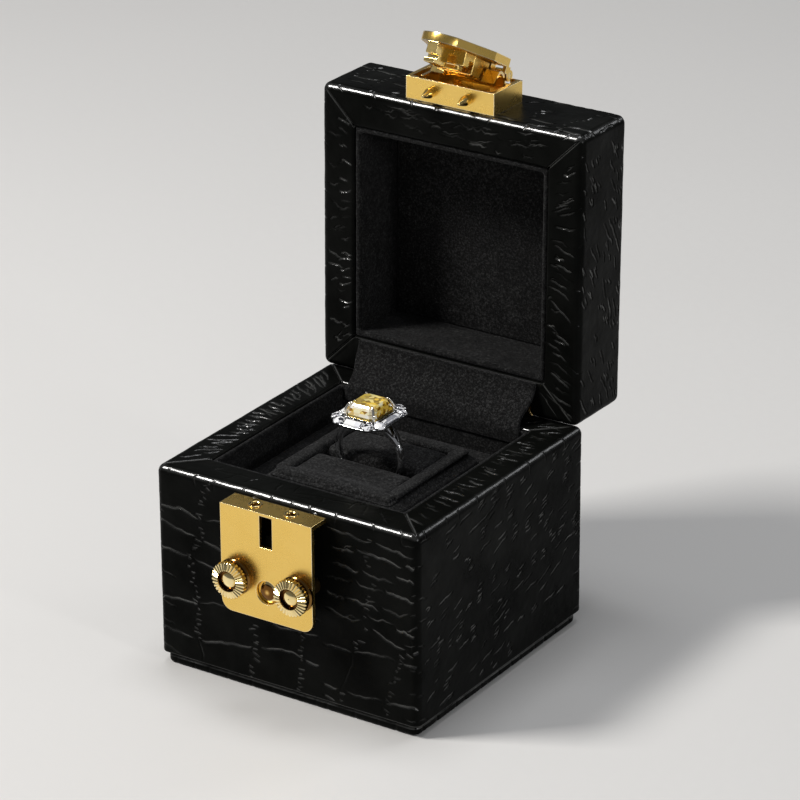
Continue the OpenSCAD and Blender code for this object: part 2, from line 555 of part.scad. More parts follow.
// ---------- hasp flap (closed coordinates, then raised) ----------
module flap_plate() color("#e6c46a") flap_place() difference() {
  union() {
    translate([lock_x, ha_y - fn0, 0]) rotate([90, 0, 0]) linear_extrude(flap_t) union() {
      polygon([[-flap_hw, ha_z - 1.4], [flap_hw, ha_z - 1.4], [flap_hw, ha_z - 9], [5.1, ha_z - 21.3], [-5.1, ha_z - 21.3], [-flap_hw, ha_z - 9]]);
      intersection() {
        translate([0, ha_z - 17.6]) circle(6.3);
        translate([-6, ha_z - 40]) square([12, 18.75]);
      }
    }
    // knuckles and webs to the plate
    for (p = [[-flap_hw, -8.3], [-4.9, 4.9], [8.3, flap_hw]]) {
      translate([lock_x + p[0], ha_y, ha_z]) rotate([0, 90, 0]) cylinder(r = fr, h = p[1] - p[0]);
      blk(lock_x + p[0], lock_x + p[1], ha_y - fn0 - 0.2, ha_y, ha_z - 2.6, ha_z - 0.4);
    }
  }
  translate([lock_x - 20, ha_y, ha_z]) rotate([0, 90, 0]) cylinder(r = 0.65, h = 40);
}

module flap_block() color("#d2a03c") flap_place()
  blk(lock_x - 5, lock_x + 5, ha_y - fn0, ha_y + 3.1, ha_z - 11.0, ha_z - 3.5);

// lug below the hasp box, its shallow neck passing in front of the box's lower wall
module flap_lug() color("#dcae4c") flap_place() union() {
  translate([lock_x - 3.6, 0, 0]) rotate([90, 0, 90]) linear_extrude(7.2)
    polygon([[ha_y - fn0, ha_z - 16.0], [ha_y - fn0, ha_z - 13.2], [ha_y + 3.1, ha_z - 13.2], [ha_y + 3.1, ha_z - 15.5]]);
  translate([lock_x - 5, 0, 0]) rotate([90, 0, 90]) linear_extrude(10)
    polygon([[ha_y - fn0, ha_z - 16.0], [ha_y - fn0, ha_z - 11.1], [ha_y + 0.1, ha_z - 11.1], [ha_y + 0.1, ha_z - 13.2], [ha_y + 1.8, ha_z - 13.2], [ha_y + 1.8, ha_z - 15.7]]);
}

module flap_tongue() color("#e6c46a") flap_place() difference() {
  union() {
    blk(lock_x - 1.5, lock_x + 1.5, ha_y - fn0, ha_y + 3.4, ha_z - 23.8, ha_z - 17.8);
    blk(lock_x - 1.5, lock_x + 1.5, ha_y - fn0, ha_y - 0.3, ha_z - 18.3, ha_z - 16.1);
  }
  // notch for the catch
  blk(lock_x - 2, lock_x + 2, py + 1.3, py + 2.4, ha_z - 25, base_h - 7.7);
}

base_carcass();
base_leather();
bottom_plate();
bottom_pad();
base_rim_front();
base_rim_right();
base_rim_rear();
base_rim_left();
base_tray();
insert_block();
insert_board();
hinge_leaf_base();
hinge_screws_base();
hinge_pin();
lock_plate();
guide_bush_left();
guide_bush_right();
lock_case();
stud_left();
stud_right();
knob_left();
knob_right();
button();
button_spring();
catch();
catch_spring();
cushion_frame();
cushion_core();
pad_front();
pad_rear();
ring_band();
ring_gallery();
ring_halo();
ring_prongs();
centre_stone();
halo_rounds();
halo_baguettes();
lid_carcass();
lid_leather();
lid_rim_front();
lid_rim_right();
lid_rim_rear();
lid_rim_left();
lid_tray();
lid_pad();
hinge_leaf_lid();
hinge_screws_lid();
hinge_flap();
hasp_box();
hasp_rivets();
locating_pin_left();
locating_pin_right();
hasp_hinge_pin();
hasp_spring();
flap_plate();
flap_block();
flap_lug();
flap_tongue();
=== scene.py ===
import json
import math

import bmesh
import bpy
import numpy as np
from mathutils import Matrix, Vector

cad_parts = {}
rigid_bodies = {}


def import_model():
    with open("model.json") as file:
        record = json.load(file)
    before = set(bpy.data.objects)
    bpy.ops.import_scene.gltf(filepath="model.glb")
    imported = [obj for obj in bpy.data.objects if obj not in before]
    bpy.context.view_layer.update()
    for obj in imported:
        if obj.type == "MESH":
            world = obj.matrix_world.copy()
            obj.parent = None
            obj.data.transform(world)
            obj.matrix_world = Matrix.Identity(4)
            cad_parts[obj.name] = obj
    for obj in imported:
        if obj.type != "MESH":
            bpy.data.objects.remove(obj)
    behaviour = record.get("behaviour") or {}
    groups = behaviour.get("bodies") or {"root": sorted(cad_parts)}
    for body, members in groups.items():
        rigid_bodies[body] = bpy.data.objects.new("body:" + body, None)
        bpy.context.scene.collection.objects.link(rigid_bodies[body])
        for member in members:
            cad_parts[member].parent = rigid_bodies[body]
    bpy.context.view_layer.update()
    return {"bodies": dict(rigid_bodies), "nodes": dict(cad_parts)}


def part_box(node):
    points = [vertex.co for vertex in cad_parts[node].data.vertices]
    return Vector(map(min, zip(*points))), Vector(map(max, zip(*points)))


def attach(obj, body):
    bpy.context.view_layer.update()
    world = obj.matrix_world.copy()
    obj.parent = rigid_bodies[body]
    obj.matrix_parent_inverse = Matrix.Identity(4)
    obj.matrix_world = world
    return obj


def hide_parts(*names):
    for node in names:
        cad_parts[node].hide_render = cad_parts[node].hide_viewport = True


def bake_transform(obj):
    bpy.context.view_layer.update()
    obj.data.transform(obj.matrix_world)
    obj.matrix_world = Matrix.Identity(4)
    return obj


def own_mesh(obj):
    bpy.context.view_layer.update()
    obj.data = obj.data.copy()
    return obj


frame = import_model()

# ---------------------------------------------------------------- sizes, in mm
HW = 38.0  # half of the box's side
BASE_H = 53.9
WRAP_Z0 = 2.9  # the wrap starts above the groove
RIM_W = 9.7
EDGE_R = 2.0
OPENING = HW - RIM_W
LZ0, LZ1 = 54.2, 75.4  # the lid's rim plane and top, closed
HY, HZ = 36.2, 56.2  # hinge axis
OPEN = math.radians(90.9)
IX = -0.6  # middle of the cushion
SEAT = 60.95  # underside of the halo
GTOP = 62.6  # top of the basket under the centre stone
MESH = 0.2  # spacing of the leather meshes

scene = bpy.context.scene
NODES, BODIES = frame["nodes"], frame["bodies"]


def to_open(P):
    """Closed-lid points to where they are with the lid open."""
    P = np.asarray(P, float)
    c, s = math.cos(-OPEN), math.sin(-OPEN)
    y, z = P[..., 1] - HY, P[..., 2] - HZ
    return np.stack([P[..., 0], HY + y * c - z * s, HZ + y * s + z * c], -1)


# ---------------------------------------------------------------- noise
def _hash(ix, iy, iz, seed):
    h = (
        ix.astype(np.int64) * 73856093
        ^ iy.astype(np.int64) * 19349663
        ^ iz.astype(np.int64) * 83492791
        ^ np.int64(seed * 2654435)
    )
    h = (h ^ (h >> 13)) * 1274126177
    h = (h ^ (h >> 16)) & 0xFFFFFF
    return h / float(0xFFFFFF)


def vnoise(P, size, seed=1):
    """Smooth noise from -1 to 1 with features of that size, in mm."""
    Q = np.asarray(P, float) / size
    i = np.floor(Q).astype(np.int64)
    f = Q - i
    f = f * f * (3 - 2 * f)
    out = 0
    for dx in (0, 1):
        for dy in (0, 1):
            for dz in (0, 1):
                w = (
                    (f[..., 0] if dx else 1 - f[..., 0])
                    * (f[..., 1] if dy else 1 - f[..., 1])
                    * (f[..., 2] if dz else 1 - f[..., 2])
                )
                out = out + w * _hash(i[..., 0] + dx, i[..., 1] + dy, i[..., 2] + dz, seed)
    return out * 2 - 1


def smooth(x, a, b):
    t = np.clip((x - a) / (b - a), 0, 1)
    return t * t * (3 - 2 * t)


# ---------------------------------------------------------------- embossed relief on an unrolled sheet
class Relief:
    """Depth of the creases over a sheet of w x h mm, on the same spacing as the meshes; u repeats if it goes round."""

    def __init__(self, w, h, round_u=False):
        self.w, self.h, self.step, self.round_u = w, h, MESH, round_u
        self.nu = int(round(w / MESH)) + (0 if round_u else 1)
        self.nt = int(round(h / MESH)) + 2
        self.cut = np.zeros((self.nt, self.nu))
        self.lip = np.zeros((self.nt, self.nu))
        self.soft = np.zeros((self.nt, self.nu))

    def stroke(self, pts, depth, width, soft=0.0, taper=1.0):
        pts = np.asarray(pts, float)
        n = len(pts)
        k = np.linspace(0, 1, n)
        env = np.clip(np.sin(np.pi * k), 0, 1) ** 0.45
        dep = depth * (1 - taper + taper * env)
        reach = max(3.6 * width, 2.6 if soft else 0)
        for c in range(0, n - 1, 6):
            seg, dp = pts[c : c + 7], dep[c : c + 7]
            lo, hi = seg.min(0) - reach, seg.max(0) + reach
            iu = np.arange(math.floor(lo[0] / self.step), math.ceil(hi[0] / self.step) + 1)
            it = np.arange(max(0, math.floor(lo[1] / self.step)), min(self.nt - 1, math.ceil(hi[1] / self.step)) + 1)
            if not self.round_u:
                iu = iu[(iu >= 0) & (iu < self.nu)]
            if not len(iu) or not len(it):
                continue
            U, T = np.meshgrid(iu * self.step, it * self.step)
            a, d = seg[:-1, :, None, None], (seg[1:] - seg[:-1])[:, :, None, None]
            L = np.maximum(d[:, 0] ** 2 + d[:, 1] ** 2, 1e-9)
            f = np.clip(((U - a[:, 0]) * d[:, 0] + (T - a[:, 1]) * d[:, 1]) / L, 0, 1)
            dist = np.hypot(U - a[:, 0] - f * d[:, 0], T - a[:, 1] - f * d[:, 1])
            m = dist.argmin(0)[None]
            dist = np.take_along_axis(dist, m, 0)[0]
            f = np.take_along_axis(f, m, 0)[0]
            m = m[0]
            dd = dp[m] + (dp[m + 1] - dp[m]) * f
            ii = np.ix_(it, iu % self.nu if self.round_u else iu)
            self.cut[ii] = np.maximum(self.cut[ii], dd * np.exp(-((dist / width) ** 2)))
            self.lip[ii] = np.maximum(self.lip[ii], 0.22 * dd * np.exp(-(((dist - 2.1 * width) / width) ** 2)))
            if soft:
                self.soft[ii] = np.maximum(self.soft[ii], dd * soft * np.exp(-((dist / 1.1) ** 1.5)))

    def height(self, i, j):
        """Height and crease depth at mesh rows i and columns j."""
        i = np.clip(i, 0, self.nt - 1)
        j = np.mod(j, self.nu) if self.round_u else np.clip(j, 0, self.nu - 1)
        c, l, b = self.cut[i, j], self.lip[i, j], self.soft[i, j]
        return -c - b + l * np.clip(1 - c / 0.05, 0, 1), c


def curve(p0, p1, bow, wig, rng, n=None):
    """Points from p0 to p1 with a bow and a small random waver."""
    p0, p1 = np.asarray(p0, float), np.asarray(p1, float)
    L = np.hypot(*(p1 - p0))
    n = n or max(4, int(L / 0.6) + 2)
    s = np.linspace(0, 1, n)
    nrm = np.array([-(p1 - p0)[1], (p1 - p0)[0]]) / max(L, 1e-6)
    off = bow * 4 * s * (1 - s)
    for f in (1.0, 2.3, 4.1):
        off = off + wig / f * np.sin(2 * np.pi * (f * s * max(1, L / 14) + rng.random())) * np.sin(np.pi * s) ** 0.5
    return p0 + np.outer(s, p1 - p0) + np.outer(off, nrm)


def scales(R, rng, u0, u1, t0, t1, cw, rh, tilt=0.0, depth=0.24, dashes=0.6, jit=0.2, keep=1.0, width=0.26, skew=0.0, gaps=0.12):
    """Rows of large scales: long creases along the rows, and between neighbours a crease or a ladder of short wrinkles."""
    cu, ct = (u0 + u1) / 2, (t0 + t1) / 2
    c, s = math.cos(tilt), math.sin(tilt)
    ext = abs(u1 - u0) * abs(s) / 2 + (t1 - t0) / 2 * abs(c) + rh
    exu = abs(u1 - u0) / 2 * abs(c) + (t1 - t0) / 2 * abs(s) + cw
    nr, nc = int(2 * ext / rh) + 2, int(2 * exu / cw) + 2
    rows = -ext + np.arange(nr) * rh + (rng.random(nr) - 0.5) * rh * jit
    node = np.zeros((nr, nc, 2))
    shift = np.cumsum((rng.random(nr) - 0.5) * cw * 0.5) + skew * np.arange(nr)
    for i in range(nr):
        q = rows[i] + rh * 0.3 * np.sin(np.arange(nc) * 0.9 + i * 1.7 + rng.random())
        node[i, :, 1] = q + (rng.random(nc) - 0.5) * rh * jit * 1.3
        node[i, :, 0] = -exu + np.arange(nc) * cw + (rng.random(nc) - 0.5) * cw * jit * 1.2 + (shift[i] % cw)

    def place(pts):
        pts = np.asarray(pts, float)
        out = np.stack([cu + pts[:, 0] * c - pts[:, 1] * s, ct + pts[:, 0] * s + pts[:, 1] * c], -1)
        ok = (out[:, 0] > u0) & (out[:, 0] < u1) & (out[:, 1] > t0) & (out[:, 1] < t1)
        runs, now = [], []
        for p, k in zip(out, ok):
            if k:
                now.append(p)
            elif now:
                runs.append(now)
                now = []
        if now:
            runs.append(now)
        return [r for r in runs if len(r) > 2]

    for i in range(nr):
        for j in range(nc - 1):
            if rng.random() > keep:
                continue
            a, b = node[i, j], node[i, j + 1]
            g, g2 = rng.random() * gaps, rng.random() * gaps
            for r in place(curve(a + (b - a) * g, b - (b - a) * g2, (rng.random() - 0.35) * rh * 0.22, rh * 0.035, rng)):
                R.stroke(r, depth * (0.65 + 0.5 * rng.random()), width, soft=0.22, taper=0.7)
    for i in range(nr - 1):
        for j in range(nc):
            a = node[i, j]
            k = int(np.argmin(np.abs(node[i + 1, :, 0] - a[0])))
            b = node[i + 1, k]
            if rng.random() > keep:
                continue
            if rng.random() < dashes:
                L = np.hypot(*(b - a))
                m = max(2, int(L / 1.2))
                for q in range(m):
                    if rng.random() < 0.12:
                        continue
                    f = (q + 0.5 + (rng.random() - 0.5) * 0.5) / m
                    mid = a + (b - a) * f + np.array([(rng.random() - 0.5) * 1.6, 0])
                    half = 0.45 + rng.random() ** 1.5 * 1.3
                    th = (rng.random() - 0.5) * 0.8 - 0.1
                    v = np.array([math.cos(th), math.sin(th)]) * half
                    for r in place(curve(mid - v, mid + v, (rng.random() - 0.5) * 0.5, 0.05, rng, 6)):
                        R.stroke(r, depth * (0.6 + 0.5 * rng.random()), width * 0.7, soft=0.05)
            else:
                for r in place(curve(a, b, (rng.random() - 0.5) * cw * 0.1, 0.25, rng)):
                    R.stroke(r, depth * (0.35 + 0.35 * rng.random()), width * 0.85, soft=0.2, taper=0.8)


def slashes(R, rng, u0, u1, t0, t1, rise, depth=0.25):
    """Short broken creases that rise along u, some alone, some in small stacks."""
    t = t0
    while t < t1:
        u = u0 + 5 * rng.random()
        while u < u1 - 2:
            if rng.random() < 0.68:
                many = 1 + int(3.4 * rng.random() ** 1.6)
                for k in range(many):
                    ln = (1.4 + 2.2 * rng.random()) if many > 1 else (2.2 + 4.6 * rng.random())
                    sl = rise * (0.35 + 1.1 * rng.random())
                    a = (u + (rng.random() - 0.5) * 1.2, min(max(t + 0.95 * k + (rng.random() - 0.5) * 0.5, t0), t1))
                    b = (min(a[0] + ln, u1), min(max(a[1] + sl * ln, t0), t1))
                    R.stroke(curve(a, b, (rng.random() - 0.5) * 0.5, 0.14, rng), depth * (0.55 + 0.6 * rng.random()), 0.2 + 0.05 * rng.random(), soft=0.15)
            u += 3.4 + 4.4 * rng.random()
        t += 2.7 + 1.5 * rng.random()


def across(R, rng, u0, u1, t0, t1, gap, depth=0.2, lean=0.0, width=0.24, part=(0.4, 1.0), bow=0.5, fork=0.35, straight=None):
    """Wrinkles that run across a strip from t0 to t1; straight is the level of the fold, to keep them square to it."""
    u = u0 + gap * rng.random()
    W = t1 - t0
    while u < u1:
        ln = W * (part[0] + (part[1] - part[0]) * rng.random())
        s = t0 + (W - ln) * rng.random()
        a = np.array([u - lean * ln / 2, s])
        b = np.array([u + lean * ln / 2 + (rng.random() - 0.5) * gap * 0.7, s + ln])
        if straight:
            c = 76 * math.floor(u / 76) + 38
            b[0] += 0.85 * (u - c) * ((HW - (s - straight)) / (HW - (s + ln - straight)) - 1)
        p = curve(a, b, (rng.random() - 0.5) * 2 * bow, 0.22, rng)
        R.stroke(p, depth * (0.5 + 0.7 * rng.random()), width * (0.85 + 0.3 * rng.random()), soft=0.3)
        if rng.random() < fork and len(p) > 6:
            k = int(len(p) * (0.3 + 0.4 * rng.random()))
            d = (p[-1] - p[k]) * (0.5 + 0.5 * rng.random())
            e = p[k] + d + np.array([(rng.random() - 0.5) * 2.4 * gap * 0.6, 0])
            R.stroke(curve(p[k], e, (rng.random() - 0.5) * 0.6, 0.12, rng), depth * 0.7, width * 0.85, soft=0.2)
        u += gap * (0.55 + 0.9 * rng.random())


# ---------------------------------------------------------------- meshes
def add_object(name, verts, quads, mat, smooth_on=True, attr=None, nrm=None):
    me = bpy.data.meshes.new(name)
    verts = np.asarray(verts, np.float32) * 0.001
    quads = np.asarray(quads, np.int32)
    me.vertices.add(len(verts))
    me.vertices.foreach_set("co", verts.ravel())
    me.loops.add(quads.size)
    me.loops.foreach_set("vertex_index", quads.ravel())
    me.polygons.add(len(quads))
    me.polygons.foreach_set("loop_start", np.arange(len(quads), dtype=np.int32) * quads.shape[1])
    me.update(calc_edges=True)
    me.validate()
    if smooth_on:
        me.polygons.foreach_set("use_smooth", np.ones(len(me.polygons), bool))
    if attr is not None:
        a = me.attributes.new("relief", "FLOAT", "POINT")
        a.data.foreach_set("value", np.asarray(attr, np.float32))
    if nrm is not None:
        me.normals_split_custom_set_from_vertices(np.asarray(nrm, np.float32))
        # edge: mask of the rounded folds, strongest where they face upward and weaker on those facing left or right;
        # the leather paints a highlight into its colour there and makes it glossier
        a = me.attributes.new("edge", "FLOAT", "POINT")
        nn = np.asarray(nrm)
        fold = np.clip((1 - np.abs(nn).max(1) - 0.05) / 0.16, 0, 1) * smooth(nn[:, 2], 0.2, 0.5)
        fold = fold * (1 - 0.55 * smooth(np.abs(nn[:, 0]) - np.abs(nn[:, 1]), 0.0, 0.3))
        # no painted highlight on the lid's rear panel
        if name.startswith("leather_lid_rear"):
            fold = fold * 0
        a.data.foreach_set("value", fold.astype(np.float32))
    me.materials.append(mat)
    o = bpy.data.objects.new(name, me)
    scene.collection.objects.link(o)
    return o


def grid_quads(nt, nu, closed=False, flip=False):
    i = np.arange(nt - 1)[:, None]
    j = np.arange(nu if closed else nu - 1)[None, :]
    j1 = (j + 1) % nu
    q = np.stack([i * nu + j, i * nu + j1, (i + 1) * nu + j1, (i + 1) * nu + j], -1).reshape(-1, 4)
    return q[:, ::-1] if flip else q


def normals(P):
    du = np.gradient(P, axis=1)
    dt = np.gradient(P, axis=0)
    n = np.cross(du, dt)
    return n / np.maximum(np.linalg.norm(n, axis=-1, keepdims=True), 1e-12)


def tidy(o, dist=1e-6):
    bm = bmesh.new()
    bm.from_mesh(o.data)
    bmesh.ops.remove_doubles(bm, verts=bm.verts, dist=dist)
    bmesh.ops.recalc_face_normals(bm, faces=bm.faces)
    bm.to_mesh(o.data)
    bm.free()
    return o


def rect_loop(hx, hy, r, per_side, per_corner):
    """Points round a rounded rectangle, the same count for any size."""
    pts = []
    r = min(r, hx, hy)
    for sx, sy, a0 in ((1, -1, -90), (1, 1, 0), (-1, 1, 90), (-1, -1, 180)):
        cx, cy = sx * (hx - r), sy * (hy - r)
        for k in range(per_corner + 1):
            a = math.radians(a0 + 90 * k / per_corner)
            pts.append((cx + r * math.cos(a), cy + r * math.sin(a)))
        nx, ny = {(1, -1): (1, 1), (1, 1): (-1, 1), (-1, 1): (-1, -1), (-1, -1): (1, -1)}[(sx, sy)]
        ex, ey = nx * (hx - r), ny * (hy - r)
        a = math.radians(a0 + 90)
        p0 = pts[-1]
        p1 = (ex + r * math.cos(a), ey + r * math.sin(a))
        for k in range(1, per_side):
            f = k / per_side
            pts.append((p0[0] + (p1[0] - p0[0]) * f, p0[1] + (p1[1] - p0[1]) * f))
    return np.array(pts)


def sweep(name, profile, mat, cx=0.0, cy=0.0, per_side=80, per_corner=6, fuzz=0.0, seed=1, lid=False, cap_last=False, cap_first=False):
    """profile: (half x, half y, corner radius, z) from first to last; loops joined into a skin."""
    loops = []
    for hx, hy, r, z in profile:
        L = rect_loop(hx, hy, r, per_side, per_corner)
        loops.append(np.column_stack([L[:, 0] + cx, L[:, 1] + cy, np.full(len(L), z)]))
    P = np.array(loops)
    if fuzz:
        du = np.roll(P, -1, 1) - np.roll(P, 1, 1)
        dt = np.gradient(P, axis=0)
        n = np.cross(du, dt)
        n /= np.maximum(np.linalg.norm(n, axis=-1, keepdims=True), 1e-9)
        P = P + n * (fuzz * (0.6 * vnoise(P, 2.6, seed) + 0.4 * vnoise(P, 0.9, seed + 1)))[..., None]
    nt, nu = P.shape[:2]
    V = P.reshape(-1, 3)
    Q = grid_quads(nt, nu, closed=True)
    faces = [tuple(q) for q in Q]
    if cap_last:
        faces.append(tuple((nt - 1) * nu + k for k in range(nu)))
    if cap_first:
        faces.append(tuple(range(nu - 1, -1, -1)))
    if lid:
        V = to_open(V)
    me = bpy.data.meshes.new(name)
    me.from_pydata([tuple(v * 0.001) for v in V], [], faces)
    me.materials.append(mat)
    o = bpy.data.objects.new(name, me)
    scene.collection.objects.link(o)
    bm = bmesh.new()
    bm.from_mesh(me)
    bmesh.ops.recalc_face_normals(bm, faces=bm.faces)
    bm.to_mesh(me)
    bm.free()
    me.polygons.foreach_set("use_smooth", np.ones(len(me.polygons), bool))
    return o


def resample(points, step):
    """Points along a broken line at about that spacing, corners kept."""
    out = [points[0]]
    for a, b in zip(points[:-1], points[1:]):
        a, b = np.array(a, float), np.array(b, float)
        n = max(1, int(np.linalg.norm(b - a) / step))
        for k in range(1, n + 1):
            out.append(tuple(a + (b - a) * k / n))
    return out


def arc(cx, cz, r, a0, a1, n):
    return [(cx + r * math.cos(math.radians(a0 + (a1 - a0) * k / n)), cz + r * math.sin(math.radians(a0 + (a1 - a0) * k / n))) for k in range(n + 1)]


def tube(path, radii, seg=12, caps=True):
    """Verts and faces of a tube along a path, in mm."""
    path = np.asarray(path, float)
    n = len(path)
    tan = np.gradient(path, axis=0)
    tan /= np.linalg.norm(tan, axis=1, keepdims=True)
    up = np.array([0, 0, 1.0]) if abs(tan[0][2]) < 0.9 else np.array([1.0, 0, 0])
    V, F = [], []
    for i in range(n):
        x = np.cross(up, tan[i])
        x /= np.linalg.norm(x)
        y = np.cross(tan[i], x)
        up = y
        r = radii[i] if hasattr(radii, "__len__") else radii
        for k in range(seg):
            a = 2 * math.pi * k / seg
            V.append(path[i] + r * (math.cos(a) * x + math.sin(a) * y))
    for i in range(n - 1):
        for k in range(seg):
            k1 = (k + 1) % seg
            F.append((i * seg + k, i * seg + k1, (i + 1) * seg + k1, (i + 1) * seg + k))
    if caps:
        F.append(tuple(range(seg - 1, -1, -1)))
        F.append(tuple((n - 1) * seg + k for k in range(seg)))
    return V, F


def from_lists(name, parts, mat, smooth_on=True, angle=None):
    V, F = [], []
    for v, f in parts:
        k = len(V)
        V += [tuple(np.asarray(p) * 0.001) for p in v]
        F += [tuple(i + k for i in q) for q in f]
    me = bpy.data.meshes.new(name)
    me.from_pydata(V, [], F)
    me.materials.append(mat)
    o = bpy.data.objects.new(name, me)
    scene.collection.objects.link(o)
    bm = bmesh.new()
    bm.from_mesh(me)
    bmesh.ops.recalc_face_normals(bm, faces=bm.faces)
    if angle:
        for e in bm.edges:
            if len(e.link_faces) == 2 and e.calc_face_angle(0) > math.radians(angle):
                e.smooth = False
    bm.to_mesh(me)
    bm.free()
    if smooth_on:
        me.polygons.foreach_set("use_smooth", np.ones(len(me.polygons), bool))
    return o


# ---------------------------------------------------------------- materials
class Mat:
    def __init__(self, name):
        self.m = bpy.data.materials.new(name)
        self.m.use_nodes = True
        self.t = self.m.node_tree
        self.b = self.t.nodes["Principled BSDF"]
        self.co = self.t.nodes.new("ShaderNodeTexCoord").outputs["Object"]

    def set(self, **k):
        for a, v in k.items():
            self.b.inputs[a.replace("_", " ")].default_value = v

    def new(self, kind, **k):
        n = self.t.nodes.new(kind)
        for a, v in k.items():
            setattr(n, a, v)
        return n

    def link(self, a, b):
        self.t.links.new(a, b)

    def noise(self, scale, detail=4.0, rough=0.55, stretch=None, distortion=0.0):
        n = self.new("ShaderNodeTexNoise")
        n.inputs["Scale"].default_value = scale
        n.inputs["Detail"].default_value = detail
        n.inputs["Roughness"].default_value = rough
        n.inputs["Distortion"].default_value = distortion
        co = self.co
        if stretch:
            mp = self.new("ShaderNodeMapping")
            mp.inputs["Scale"].default_value = stretch
            self.link(co, mp.inputs["Vector"])
            co = mp.outputs["Vector"]
        self.link(co, n.inputs["Vector"])
        return n.outputs["Fac"]

    def voronoi(self, scale, feature="F1", randomness=1.0):
        n = self.new("ShaderNodeTexVoronoi", feature=feature)
        n.inputs["Scale"].default_value = scale
        n.inputs["Randomness"].default_value = randomness
        self.link(self.co, n.inputs["Vector"])
        return n.outputs["Distance"]

    def ramp(self, fac, stops):
        n = self.new("ShaderNodeValToRGB")
        e = n.color_ramp.elements
        while len(e) < len(stops):
            e.new(0.5)
        for el, (pos, col) in zip(e, stops):
            el.position = pos
            el.color = (*col, 1) if len(col) == 3 else col
        self.link(fac, n.inputs["Fac"])
        return n.outputs["Color"]

    def range(self, fac, a, b, lo, hi):
        n = self.new("ShaderNodeMapRange")
        n.inputs["From Min"].default_value = a
        n.inputs["From Max"].default_value = b
        n.inputs["To Min"].default_value = lo
        n.inputs["To Max"].default_value = hi
        self.link(fac, n.inputs["Value"])
        return n.outputs["Result"]

    def mix(self, fac, a, b, kind="MIX"):
        n = self.new("ShaderNodeMix", data_type="RGBA", blend_type=kind)
        for v, i in ((fac, 0), (a, 6), (b, 7)):
            if hasattr(v, "is_output"):
                self.link(v, n.inputs[i])
            else:
                n.inputs[i].default_value = v if not isinstance(v, tuple) else (*v, 1)[:4]
        return n.outputs[2]

    def math(self, op, a, b=None):
        n = self.new("ShaderNodeMath", operation=op)
        for i, v in enumerate((a, b)):
            if v is None:
                continue
            if hasattr(v, "is_output"):
                self.link(v, n.inputs[i])
            else:
                n.inputs[i].default_value = v
        return n.outputs[0]

    def attr(self, name):
        n = self.new("ShaderNodeAttribute", attribute_name=name)
        return n.outputs["Fac"]

    def bump(self, height, strength, distance, normal=None):
        n = self.new("ShaderNodeBump")
        n.inputs["Strength"].default_value = strength
        n.inputs["Distance"].default_value = distance
        self.link(height, n.inputs["Height"])
        if normal:
            self.link(normal, n.inputs["Normal"])
        return n.outputs["Normal"]

    def out(self, color=None, rough=None, normal=None):
        if color is not None:
            self.link(color, self.b.inputs["Base Color"])
        if rough is not None:
            self.link(rough, self.b.inputs["Roughness"])
        if normal is not None:
            self.link(normal, self.b.inputs["Normal"])
        return self.m


def leather_material(name, shade=1.0, gloss=0.0):
    m = Mat(name)
    cloud = m.noise(70, 3, 0.6)
    patch = m.noise(95, 3, 0.6, distortion=0.8)
    grain = m.voronoi(2300, "F1")
    fine = m.noise(5200, 3, 0.6)
    cre = m.noise(520, 5, 0.65, distortion=0.6)
    rel = m.attr("relief")
    col = m.ramp(cloud, [(0.3, tuple(c * shade for c in (0.0024, 0.0026, 0.0023))), (0.72, tuple(c * shade for c in (0.005, 0.0053, 0.0047)))])
    # painted highlight: creases and folded edges get a paler colour, standing in for light caught on their lips; they
    # are also made glossier
    edge = m.attr("edge")
    crease_gloss_and_highlight = m.range(rel, 0.42, 0.95, 0.0, 1.0)
    crease_gloss_and_highlight = m.math("MULTIPLY", crease_gloss_and_highlight, m.range(patch, 0.36, 0.64, 0.15, 1.0))
    col = m.mix(crease_gloss_and_highlight, col, (0.085 * shade, 0.086 * shade, 0.081 * shade))
    # painted highlight on the folded edges, where the edge mask is high
    col = m.mix(m.math("MULTIPLY", edge, m.range(cre, 0.3, 0.7, 0.15, 0.5)), col, (0.04, 0.04, 0.038))
    rough = m.range(cloud, 0.3, 0.75, 0.25 - gloss, 0.34 - gloss)
    rough = m.math("ADD", rough, m.range(cre, 0.4, 0.75, 0.0, 0.07))
    rough = m.math("SUBTRACT", rough, m.math("MULTIPLY", edge, 0.13))
    spec = m.math("ADD", m.math("MULTIPLY", crease_gloss_and_highlight, 0.5), m.math("MULTIPLY", edge, 0.7))
    m.link(m.math("ADD", spec, m.range(cloud, 0.3, 0.7, 0.015, 0.035)), m.b.inputs["Specular IOR Level"])
    n = m.bump(m.range(cre, 0.35, 0.7, 0.0, 1.0), 0.3, 0.00005)
    n = m.bump(m.range(grain, 0.0, 0.6, 1.0, 0.0), 0.2, 0.00002, n)
    n = m.bump(fine, 0.1, 0.00002, n)
    return m.out(col, rough, n)


def suede_material(name, lo=0.002, hi=0.034, sheen=0.08):
    m = Mat(name)
    fleck = m.noise(1700, 6, 0.9)
    brush = m.noise(150, 4, 0.6, distortion=1.2)
    pile = m.noise(6500, 3, 0.6, stretch=(1.0, 0.7, 1.0))
    col = m.ramp(fleck, [(0.44, (lo, lo, lo)), (0.52, (lo + (hi - lo) * 0.22,) * 3), (0.61, (hi * 1.35,) * 3)])
    shade = m.range(brush, 0.3, 0.7, 0.7, 1.3)
    mul = m.new("ShaderNodeMix", data_type="RGBA", blend_type="MULTIPLY")
    mul.inputs[0].default_value = 1.0
    m.link(col, mul.inputs[6])
    m.link(shade, mul.inputs[7])
    n = m.bump(fleck, 0.8, 0.0002)
    n = m.bump(pile, 0.4, 0.00005, n)
    rough = m.range(fleck, 0.3, 0.7, 0.86, 1.0)
    m.set(Specular_IOR_Level=0.15, Sheen_Weight=sheen, Sheen_Roughness=0.4)
    m.b.inputs["Sheen Tint"].default_value = (0.75, 0.75, 0.78, 1)
    return m.out(mul.outputs[2], rough, n)


